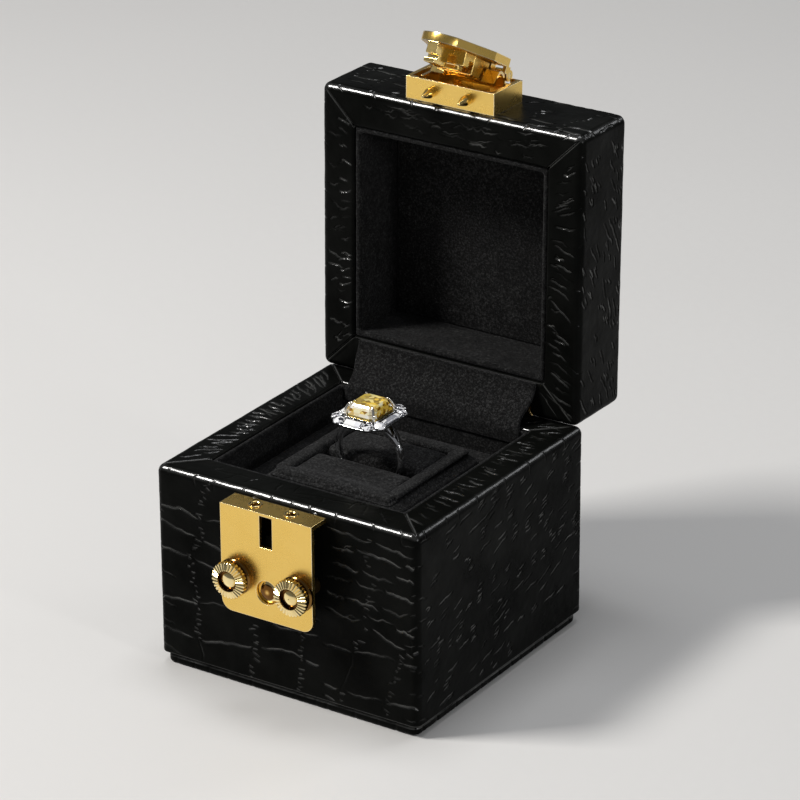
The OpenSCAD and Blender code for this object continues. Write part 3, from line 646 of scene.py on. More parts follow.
def metal_material(name, a, b, rough=(0.12, 0.22), brush=0.0, scale=160, stain=None, rim=None):
    m = Mat(name)
    cloud = m.noise(scale, 4, 0.6)
    micro = m.noise(2600, 3, 0.6)
    col = m.ramp(cloud, [(0.3, a), (0.7, b)])
    if stain:
        pit = m.noise(900, 6, 0.7)
        col = m.mix(m.range(pit, 0.55, 0.75, 0.0, 0.7), col, stain)
    r = m.range(cloud, 0.3, 0.7, *rough)
    r = m.math("ADD", r, m.range(micro, 0.4, 0.75, 0.0, 0.05))
    if rim:
        # painted highlight: the edges, found through the bevel normal, get the paler rim colour, standing in for light
        # caught on them; they are a little smoother too
        bev = m.new("ShaderNodeBevel", samples=12)
        bev.inputs["Radius"].default_value = 0.0004
        geo = m.new("ShaderNodeNewGeometry")
        dot = m.new("ShaderNodeVectorMath", operation="DOT_PRODUCT")
        m.link(bev.outputs["Normal"], dot.inputs[0])
        m.link(geo.outputs["True Normal"], dot.inputs[1])
        e = m.range(dot.outputs["Value"], 0.9, 0.995, 1.0, 0.0)
        col = m.mix(e, col, rim)
        r = m.math("SUBTRACT", r, m.math("MULTIPLY", e, 0.08))
    n = m.bump(micro, 0.02, 0.00001)
    if brush:
        line = m.noise(900, 3, 0.6, stretch=(14.0, 1.0, 1.0))
        n = m.bump(line, brush, 0.00002, n)
    m.set(Metallic=1.0)
    return m.out(col, r, n)


def gem_material(name, lo, hi, ior, clear=0.45):
    """A cut stone: part of the light passes, part is thrown back by the facets below."""
    m = Mat(name)
    cloud = m.noise(620, 3, 0.6)
    m.set(Transmission_Weight=clear, IOR=ior)
    n = m.bump(m.noise(1800, 2, 0.5), 0.02, 0.00001)
    return m.out(m.ramp(cloud, [(0.36, lo), (0.62, hi)]), m.range(cloud, 0.3, 0.7, 0.02, 0.06), n)


def facet_material(name, stops, scale, ior=1.95, clear=0.06, left=None):
    """A stone whose inner facets show as crisp painted patches, dark ones painted shade and pale ones painted flashes
    of light; left darkens the side towards -X as a painted reflection.
    """
    m = Mat(name)
    n = m.new("ShaderNodeTexVoronoi", feature="F1")
    n.inputs["Scale"].default_value = scale
    m.link(m.co, n.inputs["Vector"])
    cell = n.outputs["Color"]
    col = m.ramp(cell, stops)
    ramp = col.node.color_ramp
    ramp.interpolation = "CONSTANT"
    if left:
        sep = m.new("ShaderNodeSeparateXYZ")
        m.link(m.co, sep.inputs[0])
        col = m.mix(m.range(sep.outputs["X"], -0.0022, 0.0002, 1.0, 0.0), col, left, "MULTIPLY")
    cloud = m.noise(700, 3, 0.6)
    m.set(Transmission_Weight=clear, IOR=ior)
    return m.out(col, m.range(cloud, 0.3, 0.7, 0.02, 0.07), m.bump(cloud, 0.03, 0.00001))


def pavilion_material(name, a, b):
    """The stone's lower facets seen through it, which throw the light back."""
    m = Mat(name)
    cloud = m.noise(900, 3, 0.6)
    m.set(Metallic=1.0)
    n = m.bump(m.noise(1500, 2, 0.5), 0.02, 0.00001)
    return m.out(m.ramp(cloud, [(0.3, a), (0.7, b)]), m.range(cloud, 0.3, 0.7, 0.12, 0.3), n)


def turned_material(name, cx, cz, y0, bands, back, rough=(0.1, 0.15)):
    """Metal of a part turned about the axis at cx, cz; bands give (radius in mm, colour), in which pale bands are
    painted highlight and dark ones painted shade, and behind y0 it takes the dark back colour as painted shade.
    """
    m = Mat(name)
    mp = m.new("ShaderNodeMapping")
    mp.inputs["Location"].default_value = (-cx * 0.001, 0, -cz * 0.001)
    m.link(m.co, mp.inputs["Vector"])
    fl = m.new("ShaderNodeVectorMath", operation="MULTIPLY")
    fl.inputs[1].default_value = (1.0, 0.0, 1.0)
    m.link(mp.outputs["Vector"], fl.inputs[0])
    ln = m.new("ShaderNodeVectorMath", operation="LENGTH")
    m.link(fl.outputs["Vector"], ln.inputs[0])
    r = m.range(ln.outputs["Value"], 0.0, 0.006, 0.0, 1.0)
    cloud = m.noise(240, 4, 0.6)
    micro = m.noise(2600, 3, 0.6)
    col = m.ramp(r, [(a / 6.0, c) for a, c in bands])
    sep = m.new("ShaderNodeSeparateXYZ")
    m.link(m.co, sep.inputs[0])
    # painted shade: the part behind y0, the neck, takes the dark back colour
    painted_neck_shade = m.range(sep.outputs["Y"], y0 * 0.001 - 0.00015, y0 * 0.001 + 0.00015, 0.0, 1.0)
    col = m.mix(painted_neck_shade, col, back)
    col = m.mix(m.range(cloud, 0.35, 0.7, 0.0, 0.25), col, (0.95, 0.72, 0.3), "MULTIPLY")
    rg = m.math("ADD", m.range(cloud, 0.3, 0.7, *rough), m.range(micro, 0.4, 0.75, 0.0, 0.04))
    m.set(Metallic=1.0)
    return m.out(col, rg, m.bump(micro, 0.06, 0.00002))


def board_material(name):
    m = Mat(name)
    fib = m.noise(300, 6, 0.7, stretch=(1.0, 6.0, 6.0))
    col = m.ramp(fib, [(0.3, (0.012, 0.011, 0.010)), (0.7, (0.035, 0.030, 0.026))])
    n = m.bump(fib, 0.3, 0.0001)
    return m.out(col, m.range(fib, 0.3, 0.7, 0.6, 0.85), n)


def foam_material(name):
    m = Mat(name)
    cell = m.voronoi(2600)
    col = m.ramp(cell, [(0.1, (0.004, 0.004, 0.004)), (0.6, (0.03, 0.03, 0.03))])
    n = m.bump(cell, 0.6, 0.0002)
    return m.out(col, m.range(cell, 0, 0.6, 0.8, 1.0), n)


def felt_material(name):
    m = Mat(name)
    fib = m.noise(1500, 6, 0.8, distortion=2.0)
    col = m.ramp(fib, [(0.3, (0.008, 0.008, 0.008)), (0.7, (0.035, 0.035, 0.036))])
    n = m.bump(fib, 0.6, 0.00025)
    m.set(Sheen_Weight=0.2)
    return m.out(col, m.range(fib, 0.3, 0.7, 0.9, 1.0), n)


def floor_material():
    m = Mat("floor")
    big = m.noise(2.2, 3, 0.5)
    small = m.noise(420, 3, 0.5)
    col = m.ramp(big, [(0.3, (0.70, 0.69, 0.675)), (0.7, (0.735, 0.725, 0.71))])
    n = m.bump(small, 0.05, 0.0002)
    return m.out(col, m.range(small, 0.3, 0.7, 0.42, 0.52), n)


LEATHER = leather_material("leather")
LEATHER_RIM = leather_material("leather_rim", gloss=0.05)
SUEDE = suede_material("suede")
SUEDE_SOFT = suede_material("suede_cushion", 0.002, 0.046, 0.1)
# rim is the colour of the painted highlight on the edges
GOLD = metal_material("gold", (0.86, 0.575, 0.145), (0.90, 0.615, 0.17), (0.24, 0.3), rim=(1.0, 0.88, 0.6))
GOLD_BRIGHT = metal_material("gold_bright", (0.92, 0.66, 0.22), (0.97, 0.73, 0.28), (0.10, 0.15), rim=(1.0, 0.9, 0.65))
# painted shade: the lock case and studs, seen in the slot and behind the knobs, are darkened; the pits are a stain
BRASS_SHADED = metal_material("dark_brass", (0.05, 0.03, 0.01), (0.09, 0.055, 0.02), (0.4, 0.5), stain=(0.02, 0.012, 0.006))
HINGE_BRASS = metal_material("hinge_brass", (0.62, 0.42, 0.15), (0.72, 0.5, 0.2), (0.24, 0.34), brush=0.3)
STEEL = metal_material("steel", (0.42, 0.42, 0.43), (0.55, 0.55, 0.56), (0.28, 0.38), brush=0.3)
# painted shade: the catch is nearly black so the slot reads as shade
STEEL_SLOT_SHADE = metal_material("steel_painted_slot_shade", (0.0015, 0.0015, 0.0015), (0.003, 0.003, 0.003), (0.6, 0.7), brush=0.3)
WHITE_GOLD = metal_material("white_gold", (0.80, 0.80, 0.81), (0.88, 0.88, 0.89), (0.06, 0.11))
PRONG = metal_material("prong_gold", (0.95, 0.90, 0.78), (0.98, 0.94, 0.84), (0.08, 0.14))
# stones: the facet colours are painted light; the pale copy goes on facets towards the light, the deep amber copy on
# those away from it, the grey copy on a few dark facets
YELLOW = facet_material("yellow_stone", [(0.0, (0.34, 0.17, 0.02)), (0.3, (0.86, 0.55, 0.08)), (0.5, (1.0, 0.78, 0.25)), (0.72, (1.0, 0.93, 0.62))], 900)
YELLOW_PAINTED_LIT = facet_material("yellow_stone_painted_lit", [(0.0, (0.80, 0.56, 0.20)), (0.3, (1.0, 0.93, 0.74)), (0.52, (1.0, 0.97, 0.88)), (0.72, (0.97, 0.84, 0.5))], 620)
YELLOW_PAINTED_SHADE = facet_material("yellow_stone_painted_shade", [(0.0, (0.26, 0.12, 0.01)), (0.34, (0.66, 0.37, 0.03)), (0.48, (0.93, 0.60, 0.06)), (0.68, (1.0, 0.84, 0.32))], 1500)
YELLOW_TABLE = facet_material("yellow_stone_table", [(0.0, (0.36, 0.24, 0.06)), (0.36, (0.66, 0.44, 0.10)), (0.48, (0.95, 0.64, 0.10)), (0.64, (1.0, 0.82, 0.30))], 1000, left=(0.62, 0.68, 0.85))
YELLOW_BACK = pavilion_material("yellow_pavilion", (1.0, 0.82, 0.34), (1.0, 0.74, 0.22))
CLEAR = facet_material("clear_stone", [(0.0, (0.05, 0.05, 0.06)), (0.3, (0.62, 0.63, 0.67)), (0.4, (0.97, 0.97, 1.0)), (0.75, (1.0, 1.0, 1.0))], 1050)
CLEAR_BAR = facet_material("clear_stone_bar", [(0.0, (0.3, 0.31, 0.35)), (0.3, (0.88, 0.89, 0.93)), (0.42, (1.0, 1.0, 1.0))], 380)
CLEAR_PAINTED_DARK = facet_material("clear_stone_painted_dark", [(0.0, (0.02, 0.02, 0.025)), (0.4, (0.3, 0.31, 0.34)), (0.52, (0.9, 0.9, 0.93))], 1300)
CLEAR_BACK = pavilion_material("clear_pavilion", (0.93, 0.94, 0.97), (0.88, 0.9, 0.95))
# knob and button bands: the palest brass is painted highlight on the teeth, centres and rims, the darkest painted
# shade in the recess ring, the middle one the plain brass; the darker button tones are a painted dark reflection in
# its dome, and the last colour of each is the painted shade of the neck
BRASS_PAINTED_LIT, BRASS_MID, BRASS_RECESS_SHADE = (0.97, 0.80, 0.42), (0.86, 0.60, 0.20), (0.10, 0.045, 0.012)
KNOB_BANDS = [(0.0, BRASS_PAINTED_LIT), (1.5, BRASS_PAINTED_LIT), (2.0, BRASS_MID), (2.15, BRASS_RECESS_SHADE), (2.66, BRASS_RECESS_SHADE), (2.82, BRASS_PAINTED_LIT), (4.6, BRASS_PAINTED_LIT), (5.2, BRASS_MID)]
KNOB_LEFT = turned_material("knob_left_gold", -10.0, 33.75, -46.4, KNOB_BANDS, (0.22, 0.12, 0.035))
KNOB_RIGHT = turned_material("knob_right_gold", 8.0, 33.75, -46.4, KNOB_BANDS, (0.22, 0.12, 0.035))
BUTTON = turned_material("button_gold", -1.0, 31.5, -40.0, [(0.0, BRASS_MID), (0.45, (0.45, 0.26, 0.07)), (0.85, (0.16, 0.075, 0.02)), (2.0, (0.13, 0.06, 0.016)), (2.2, BRASS_PAINTED_LIT), (3.2, BRASS_PAINTED_LIT)], (0.1, 0.06, 0.02), (0.05, 0.09))
BOARD = board_material("board")
FOAM = foam_material("foam")
FELT = felt_material("felt")

# ---------------------------------------------------------------- camera and light
YAW, PITCH, ROLL, FPX = math.radians(-33.441), math.radians(23.783), math.radians(-0.318), 4084.0
fw = Vector((math.sin(YAW) * math.cos(PITCH), math.cos(YAW) * math.cos(PITCH), -math.sin(PITCH)))
rt = Vector((math.cos(YAW), -math.sin(YAW), 0))
up = rt.cross(fw)
r2 = rt * math.cos(ROLL) + up * math.sin(ROLL)
u2 = -rt * math.sin(ROLL) + up * math.cos(ROLL)
cam_data = bpy.data.cameras.new("camera")
cam_data.sensor_width = 36
cam_data.lens = 36 * FPX / 800
cam_data.clip_start, cam_data.clip_end = 0.01, 50
cam = bpy.data.objects.new("camera", cam_data)
scene.collection.objects.link(cam)
cam.matrix_world = Matrix(
    (
        (r2.x, u2.x, -fw.x, 0.5092),
        (r2.y, u2.y, -fw.y, -0.7584),
        (r2.z, u2.z, -fw.z, 0.4684),
        (0, 0, 0, 1),
    )
)
scene.camera = cam

world = bpy.data.worlds.new("studio")
scene.world = world
world.use_nodes = True
bg = world.node_tree.nodes["Background"]
bg.inputs["Color"].default_value = (0.86, 0.88, 0.92, 1)
bg.inputs["Strength"].default_value = 0.16
scene.view_settings.view_transform = "Standard"


def area(name, place, aim, size, power, color=(1, 1, 1), size_y=None):
    d = bpy.data.lights.new(name, "AREA")
    d.energy, d.color = power, color
    d.shape = "RECTANGLE"
    d.size, d.size_y = size, size_y or size
    o = bpy.data.objects.new(name, d)
    o.location = place
    o.rotation_mode = "QUATERNION"
    o.rotation_quaternion = (Vector(aim) - Vector(place)).to_track_quat("-Z", "Y")
    scene.collection.objects.link(o)
    return o


area("key", (-0.57, -0.46, 0.90), (0, 0, 0.06), 0.24, 10.5, (1.0, 0.98, 0.95))
area("top", (-0.05, 0.15, 1.15), (0, 0, 0.06), 0.5, 4.0, (0.97, 0.98, 1.0), 0.35)
area("edge", (0.62, 1.15, 0.80), (0, 0, 0.06), 0.42, 2.2, (0.96, 0.98, 1.0), 0.3)
area("glint", (1.15, -0.25, 0.34), (0, 0, 0.06), 0.1, 2.2, (1.0, 1.0, 1.0), 0.16)

bm = bmesh.new()
bmesh.ops.create_grid(bm, x_segments=8, y_segments=8, size=4.0)
me = bpy.data.meshes.new("floor")
bm.to_mesh(me)
bm.free()
floor = bpy.data.objects.new("floor", me)
floor.data.materials.append(floor_material())
scene.collection.objects.link(floor)


# ---------------------------------------------------------------- leather
def unit(v):
    return v / np.maximum(np.linalg.norm(v, axis=-1, keepdims=True), 1e-9)


def wrap(A, T, z0, z1):
    """A place on the box's skin and its outward direction: A along the side, T up the wall from z0, over the edge
    at z1 and across the rim. z1 below z0 gives the lid, which goes the other way."""
    sg = 1 if z1 > z0 else -1
    H = abs(z1 - z0)
    d = np.clip(T - H, 0, RIM_W)
    e = np.clip(T - H - RIM_W, 0, None)
    n = HW - d
    lat = A * (HW - d) / HW
    z = z0 + sg * np.clip(T, 0, H)
    lo, hi = (-99, z1 - EDGE_R) if sg > 0 else (z1 + EDGE_R, z0 - EDGE_R)
    q = np.stack([np.minimum(n, HW - EDGE_R), np.clip(lat, EDGE_R - HW, HW - EDGE_R), np.clip(z, lo, hi)], -1)
    v = unit(np.stack([n, lat, z], -1) - q)
    P = q + v * EDGE_R
    # inner edge of the rim
    r = 0.8
    z2 = z1 - sg * e
    q2 = np.stack([np.maximum(n, OPENING + r), lat, np.minimum(z2, z1 - r) if sg > 0 else np.maximum(z2, z1 + r)], -1)
    w = unit(np.stack([n, lat, z2], -1) - q2)
    far = (d > 6)[..., None]
    P = np.where(far, q2 + w * r, P)
    N = np.where(far, w, v)
    if sg > 0:
        # the lower edge turns under
        r = 0.7
        t = np.clip(T, 0, r)
        P[..., 0] -= np.where(T < r, r - np.sqrt(np.maximum(r * r - (r - t) ** 2, 0)), 0)
    return P, N


def turn(P, k):
    """Side coordinates (outward, along, z) to the row frame for side k: 0 front, 1 right, 2 rear, 3 left."""
    n, a, z = P[..., 0], P[..., 1], P[..., 2]
    x, y = ((a, -n), (n, a), (-a, n), (-n, -a))[k]
    return np.stack([x, y, z], -1)


def panel(name, P, N0, crease, mat, parts, cut=None, plain=None):
    """Meshes of a displaced grid, split into parts by columns, shaded as one; open edges turn inwards."""
    Ng = normals(P)
    if np.mean(np.sum(Ng * N0, -1)) < 0:
        Ng, flip = -Ng, True
    else:
        flip = False
    for c in (0, -1):
        # the same shading on both sides of a corner
        tt = unit(np.gradient(P[:, c], axis=0))
        Ng[:, c] = unit(N0[:, c] - tt * np.sum(N0[:, c] * tt, -1, keepdims=True))
    if plain is not None:
        Ng = np.where(plain[..., None], N0, Ng)
    nt, nu = P.shape[:2]
    bounds = np.linspace(0, nu - 1, parts + 1).round().astype(int)
    made = []
    for m in range(parts):
        a, b = bounds[m], bounds[m + 1] + 1
        V, NN, C = P[:, a:b], Ng[:, a:b], crease[:, a:b]
        k = b - a
        Q = grid_quads(nt, k, flip=flip)
        idx = np.arange(nt * k).reshape(nt, k)
        if cut is not None:
            drop = cut[:, a:b].reshape(-1)
            Q = Q[~drop[Q].any(1)]
        # boundary edges of the kept faces, apart from where the parts join
        E = np.concatenate([Q[:, [0, 1]], Q[:, [1, 2]], Q[:, [2, 3]], Q[:, [3, 0]]])
        key = np.sort(E, 1)
        _, inv, cnt = np.unique(key, axis=0, return_inverse=True, return_counts=True)
        E = E[cnt[inv.reshape(-1)] == 1]
        col = E % k
        join = np.zeros(len(E), bool)
        if m > 0:
            join |= (col == 0).all(1)
        if m < parts - 1:
            join |= (col == k - 1).all(1)
        E = E[~join]
        V, NN, C = V.reshape(-1, 3), NN.reshape(-1, 3), C.reshape(-1)
        base = np.unique(E)
        low = np.full(len(V), -1)
        low[base] = len(V) + np.arange(len(base))
        V = np.concatenate([V, V[base] - N0[:, a:b].reshape(-1, 3)[base] * 0.9])
        NN = np.concatenate([NN, NN[base]])
        C = np.concatenate([C, C[base]])
        Q = np.concatenate([Q, np.stack([E[:, 1], E[:, 0], low[E[:, 0]], low[E[:, 1]]], -1)])
        used = np.unique(Q)
        re = np.full(len(V), -1)
        re[used] = np.arange(len(used))
        made.append(add_object(f"{name}_{m}" if parts > 1 else name, V[used], re[Q], mat, attr=np.clip(C[used] / 0.22, 0, 1), nrm=NN[used]))
    return made


def skin(name, k, R, z0, z1, mat, parts, seed=5, lid=False, cut=None):
    H = abs(z1 - z0)
    nu = int(round(2 * HW / MESH)) + 1
    nt = int((H + RIM_W + 1.1) / MESH) + 1
    J, I = np.meshgrid(np.arange(nu), np.arange(nt))
    A, T = J * MESH - HW, I * MESH
    P, N = wrap(A, T, z0, z1)
    P, N = turn(P, k), turn(N, k)
    h, crease = R.height(I, J + (nu - 1) * k)
    h = h + 0.04 * vnoise(P, 9.0, seed) + 0.03 * vnoise(P, 3.1, seed + 1) + 0.02 * vnoise(P, 1.2, seed + 2) + 0.05
    # the mitre is a seam
    on_rim = smooth(T, H + 0.6, H + 2.0)
    dist = (HW - np.abs(A)) * (HW - np.clip(T - H, 0, RIM_W)) / HW
    h = h - on_rim * 0.32 * np.exp(-((dist / 0.3) ** 2)) + on_rim * 0.06 * np.exp(-(((dist - 0.8) / 0.4) ** 2))
    h = np.where(T > H - 1.0, np.minimum(h, 0.13), h)
    # the line beside the mitre seam gets crease depth, so the leather paints a pale highlight along it
    crease = np.maximum(crease, on_rim * 0.21 * np.exp(-(((dist - 0.3) / 0.2) ** 2)))
    # painted highlight: a pale line along the wrap's lower edge, given through the crease depth
    if not lid:
        crease = np.maximum(crease, 0.16 * np.exp(-(((T - 0.3) / 0.3) ** 2)))
    if lid:
        h = h * smooth(T, 0.0, 1.3)
    P = P + N * h[..., None]
    if lid:
        P = to_open(P)
        N = to_open(N) - to_open(np.zeros(3))
    return panel(name, P, N, crease, mat, parts, cut=cut(A, T) if cut else None, plain=(T <= 0) if lid else None)


# base: wall 51 high, then the rim
WALL = BASE_H - WRAP_Z0
base_R = Relief(8 * HW, WALL + RIM_W + 1.4, round_u=True)
rng = np.random.default_rng(11)
# front: large scales, wavier and slanting near the top right
scales(base_R, rng, 0, 48, 0.5, 50.2, 15.0, 8.6, tilt=-0.05, depth=0.27, dashes=0.85, jit=0.16)
for t in np.arange(26.0, 49.5, 4.2):
    u = 48.8 + 3 * rng.random()
    while u < 72.5:
        ln = 5 + 9 * rng.random()
        p0 = (u, t + (rng.random() - 0.5) * 1.8)
        p1 = (min(u + ln, 75.4), t + (rng.random() - 0.5) * 2.0 - 0.1 * ln)
        c = curve(p0, p1, (rng.random() - 0.5) * 2.0, 0.4, rng)
        base_R.stroke(c, 0.26 * (0.6 + 0.6 * rng.random()), 0.24, soft=0.25, taper=0.8)
        if rng.random() < 0.5 and len(c) > 8:
            e = c[len(c) // 2]
            base_R.stroke(curve(e, e + np.array([2.5 + 2 * rng.random(), (rng.random() - 0.5) * 4.5]), 0.5, 0.2, rng), 0.2, 0.22, soft=0.2)
        u += ln + 0.8 * rng.random()
for t in np.arange(25, 49, 1.15):
    u = 61 + 1.2 * math.sin(t * 0.4) + 0.6 * rng.random()
    if rng.random() < 0.75:
        base_R.stroke(curve((u, t), (u + 1.4 + 1.2 * rng.random(), t - 0.3), 0.1, 0.06, rng), 0.2, 0.2, soft=0.15)
scales(base_R, rng, 48.5, 77, 0.5, 23.5, 12.5, 7.8, tilt=-0.12, depth=0.27, dashes=0.85)
# sides: short broken creases that rise a little towards the rear
slashes(base_R, rng, 79, 150, 2.0, 49.5, 0.32)
scales(base_R, rng, 152, 228, 0.5, 50.2, 14.0, 8.8, tilt=0.03, depth=0.26, dashes=0.8)
slashes(base_R, rng, 230, 302, 2.0, 49.5, -0.32)
# short creases at the vertical corners
for k in range(4):
    for sgn in (-1, 1):
        t = 2.0
        while t < 49:
            u = 76 * k + (0.4 if sgn < 0 else 0)
            ln = 2.0 + 3.6 * rng.random()
            p0 = (u + (0.2 if sgn > 0 else -0.2), t)
            base_R.stroke(curve(p0, (p0[0] + sgn * ln, t - 0.6 + (rng.random() - 0.5) * 1.2), 0.2, 0.1, rng), 0.15, 0.22, soft=0.2)
            t += 4.5 + 6.0 * rng.random()
# breaks over the upper edges
for k in range(4):
    u = 76 * k + 4
    while u < 76 * k + 73:
        ln = 2.6 + 3.0 * rng.random()
        t = WALL - 0.9 + (rng.random() - 0.5) * 0.8
        base_R.stroke(curve((u, t - ln * 0.5), (u + (rng.random() - 0.5) * 0.8, t + ln * 0.5), 0.1, 0.08, rng), 0.09 + 0.07 * rng.random(), 0.2, soft=0.15)
        u += 4 + 9 * rng.random()
T0, T1 = WALL + 1.2, WALL + RIM_W - 0.3
# front rim is nearly plain, side rims are crinkled across
for i in range(8):
    u = 6 + 62 * rng.random()
    t = T0 + 0.8 + 6.0 * rng.random()
    base_R.stroke(curve((u, t), (u + 4 + 7 * rng.random(), t + (rng.random() - 0.5) * 2.0), 0.4, 0.2, rng), 0.1, 0.26, soft=0.2)
across(base_R, rng, 4, 72, T0, T1, 8.0, depth=0.12, part=(0.3, 0.7))
across(base_R, rng, 80, 150, T0 + 0.4, T1, 3.5, depth=0.24, lean=0.0, part=(0.5, 1.0), bow=0.3, fork=0.2, width=0.19, straight=WALL)
across(base_R, rng, 84, 148, T0 + 1.0, T1, 5.2, depth=0.22, lean=0.1, part=(0.35, 0.8), bow=0.3, fork=0.2, width=0.17, straight=WALL)
across(base_R, rng, 122, 149, T0, T1, 3.9, depth=0.24, lean=0.1, part=(0.4, 0.8), bow=0.3, fork=0.2, width=0.18, straight=WALL)
across(base_R, rng, 156, 224, T0, T1, 3.4, depth=0.2, part=(0.4, 0.9))
across(base_R, rng, 232, 300, T0, T1, 2.2, depth=0.3, lean=-0.1, part=(0.4, 0.95), bow=0.7)
across(base_R, rng, 240, 294, T0 + 1, T1 - 1, 3.2, depth=0.28, lean=0.5, part=(0.3, 0.6), bow=0.5)

FACES = ("front", "right", "rear", "left")
for k, side in enumerate(FACES):
    for o in skin(f"leather_base_{side}", k, base_R, WRAP_Z0, BASE_H, LEATHER, 2, seed=20):
        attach(o, "base")
        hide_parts(f"base_rim_{side}", "base_leather")

# lid: wall 21.2 high, then the rim
LWALL = LZ1 - LZ0
lid_R = Relief(8 * HW, LWALL + RIM_W + 1.4, round_u=True)
rng = np.random.default_rng(23)
scales(lid_R, rng, 0, 77, 0.5, LWALL - 0.6, 9.0, 4.6, tilt=0.05, depth=0.24, dashes=0.6, jit=0.4, keep=0.75, gaps=0.3)
slashes(lid_R, rng, 79, 150, 1.5, LWALL - 1.2, -0.5)
scales(lid_R, rng, 152, 228, 0.5, LWALL - 0.6, 13.0, 8.0, tilt=0.0, depth=0.25, dashes=0.8)
slashes(lid_R, rng, 230, 302, 1.5, LWALL - 1.2, 0.5)
for k in range(4):
    u = 76 * k + 5
    while u < 76 * k + 72:
        ln = 2.6 + 2.6 * rng.random()
        t = LWALL + (rng.random() - 0.5) * 0.8
        lid_R.stroke(curve((u, t - ln * 0.5), (u + (rng.random() - 0.5) * 0.8, t + ln * 0.5), 0.1, 0.08, rng), 0.08 + 0.06 * rng.random(), 0.2, soft=0.15)
        u += 7 + 9 * rng.random()
L0, L1 = LWALL + 1.0, LWALL + RIM_W - 0.3
# top rim (lid's front side): long flowing veins
for i in range(34):
    u = 8 + 56 * rng.random() ** 0.8
    t = L0 + 0.9 + 6.4 * rng.random()
    ln = 3.5 + 8 * rng.random()
    u = min(u, 70 - ln)
    lid_R.stroke(curve((u, t), (u + ln, t + (rng.random() - 0.5) * 1.7), (rng.random() - 0.5) * 1.3, 0.3, rng), 0.12 + 0.08 * rng.random(), 0.2, soft=0.2)
# right rim: dense at both ends, long slanting folds between
across(lid_R, rng, 82, 98, L0, L1, 2.0, depth=0.23, lean=0.3, part=(0.35, 0.8), bow=0.5, fork=0.2, width=0.2, straight=LWALL)
across(lid_R, rng, 97, 130, L0, L1, 4.4, depth=0.25, lean=-0.5, part=(0.6, 0.95), bow=0.7, fork=0.25, width=0.21)
across(lid_R, rng, 104, 130, L0 + 3, L1, 5.0, depth=0.22, lean=-0.2, part=(0.3, 0.6), bow=0.5)
across(lid_R, rng, 130, 149, L0, L1, 1.9, depth=0.25, lean=-0.4, part=(0.4, 0.85), bow=0.5, fork=0.2, width=0.2, straight=LWALL)
# left rim: short folds from the inner edge, curved ones from outside
across(lid_R, rng, 230, 300, L0 + 3.6, L1, 3.4, depth=0.24, lean=0.1, part=(0.5, 1.0), bow=0.3, fork=0.15, width=0.2, straight=LWALL)
across(lid_R, rng, 230, 298, L0, L0 + 6.5, 5.4, depth=0.22, lean=-0.15, part=(0.4, 0.9), bow=0.6, fork=0.2, width=0.2, straight=LWALL)
across(lid_R, rng, 156, 224, L0, L1, 4.0, depth=0.2, part=(0.4, 0.9))


def hinge_gap(A, T):
    d = np.clip(T - LWALL, 0, RIM_W)
    z = LZ1 - np.clip(T, 0, LWALL)
    lat = A * (HW - d) / HW
    return (np.abs(lat) < 24.6) & (HW - d > 34.1) & (z < 58.3)


for k, side in enumerate(FACES):
    for o in skin(f"leather_lid_{side}", k, lid_R, LZ1, LZ0, LEATHER, 1, seed=40, lid=True, cut=hinge_gap if k == 2 else None):
        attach(o, "lid")
        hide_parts(f"lid_rim_{side}", "lid_leather")

# top of the lid
top_R = Relief(2 * HW, 2 * HW)
rng = np.random.default_rng(31)
scales(top_R, rng, 1.0, 75, 1.0, 75, 15.0, 9.2, tilt=0.03, depth=0.27, dashes=0.8)
n = int(round(2 * HW / MESH)) + 1
J, I = np.meshgrid(np.arange(n), np.arange(n))
X, Y = J * MESH - HW, I * MESH - HW
q = np.stack([np.clip(X, EDGE_R - HW, HW - EDGE_R), np.clip(Y, EDGE_R - HW, HW - EDGE_R), np.full_like(X, LZ1 - EDGE_R)], -1)
N = unit(np.stack([X, Y, np.full_like(X, LZ1)], -1) - q)
P = q + N * EDGE_R
h, crease = top_R.height(I, J)
h = h + 0.04 * vnoise(P, 9.0, 40) + 0.03 * vnoise(P, 3.1, 41) + 0.02 * vnoise(P, 1.2, 42) + 0.05
h = h * smooth(HW - np.maximum(np.abs(X), np.abs(Y)), 0.0, 1.3)
P = to_open(P + N * h[..., None])
N = to_open(N) - to_open(np.zeros(3))
for o in panel("leather_lid_top", P, N, crease, LEATHER, 2, plain=np.maximum(np.abs(X), np.abs(Y)) > HW - 0.01):
    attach(o, "lid")
    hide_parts("lid_leather")

# bottom plate: leather over a thin board, in a groove below the wrap
prof = [(30.0, 30.0, 2.0, 0.4), (30.0, 30.0, 2.0, 0.1), (30.3, 30.3, 2.0, 0.0)]
prof += [(30.6 + 5.6 * f, 30.6 + 5.6 * f, 2.0, 0.0) for f in np.linspace(0, 1, 8)]
prof += [(36.2 + 0.8 * math.sin(a), 36.2 + 0.8 * math.sin(a), 2.0, 0.8 - 0.8 * math.cos(a)) for a in np.linspace(0.2, math.pi / 2, 5)]
prof += [(37.0, 37.0, 2.0, z) for z in (1.1, 1.4, 1.7)]
prof += [(36.3 + 0.7 * math.cos(a), 36.3 + 0.7 * math.cos(a), 2.0, 1.7 + 0.7 * math.sin(a)) for a in np.linspace(0.2, math.pi / 2, 5)]
prof += [(35.4, 35.4, 2.0, 2.4)]
plate = sweep("bottom_plate_leather", prof, LEATHER_RIM, per_side=200, per_corner=8, cap_last=True)
co = np.array([w.co for w in plate.data.vertices]) * 1000
ang = np.arctan2(co[:, 1], co[:, 0])
around = np.where(np.abs(co[:, 0]) > np.abs(co[:, 1]), co[:, 1] * np.sign(co[:, 0]), -co[:, 0] * np.sign(co[:, 1]))
side = np.where(np.abs(co[:, 0]) > np.abs(co[:, 1]), np.where(co[:, 0] > 0, 1, 3), np.where(co[:, 1] < 0, 0, 2))
rng = np.random.default_rng(47)
dent = np.zeros(len(co))
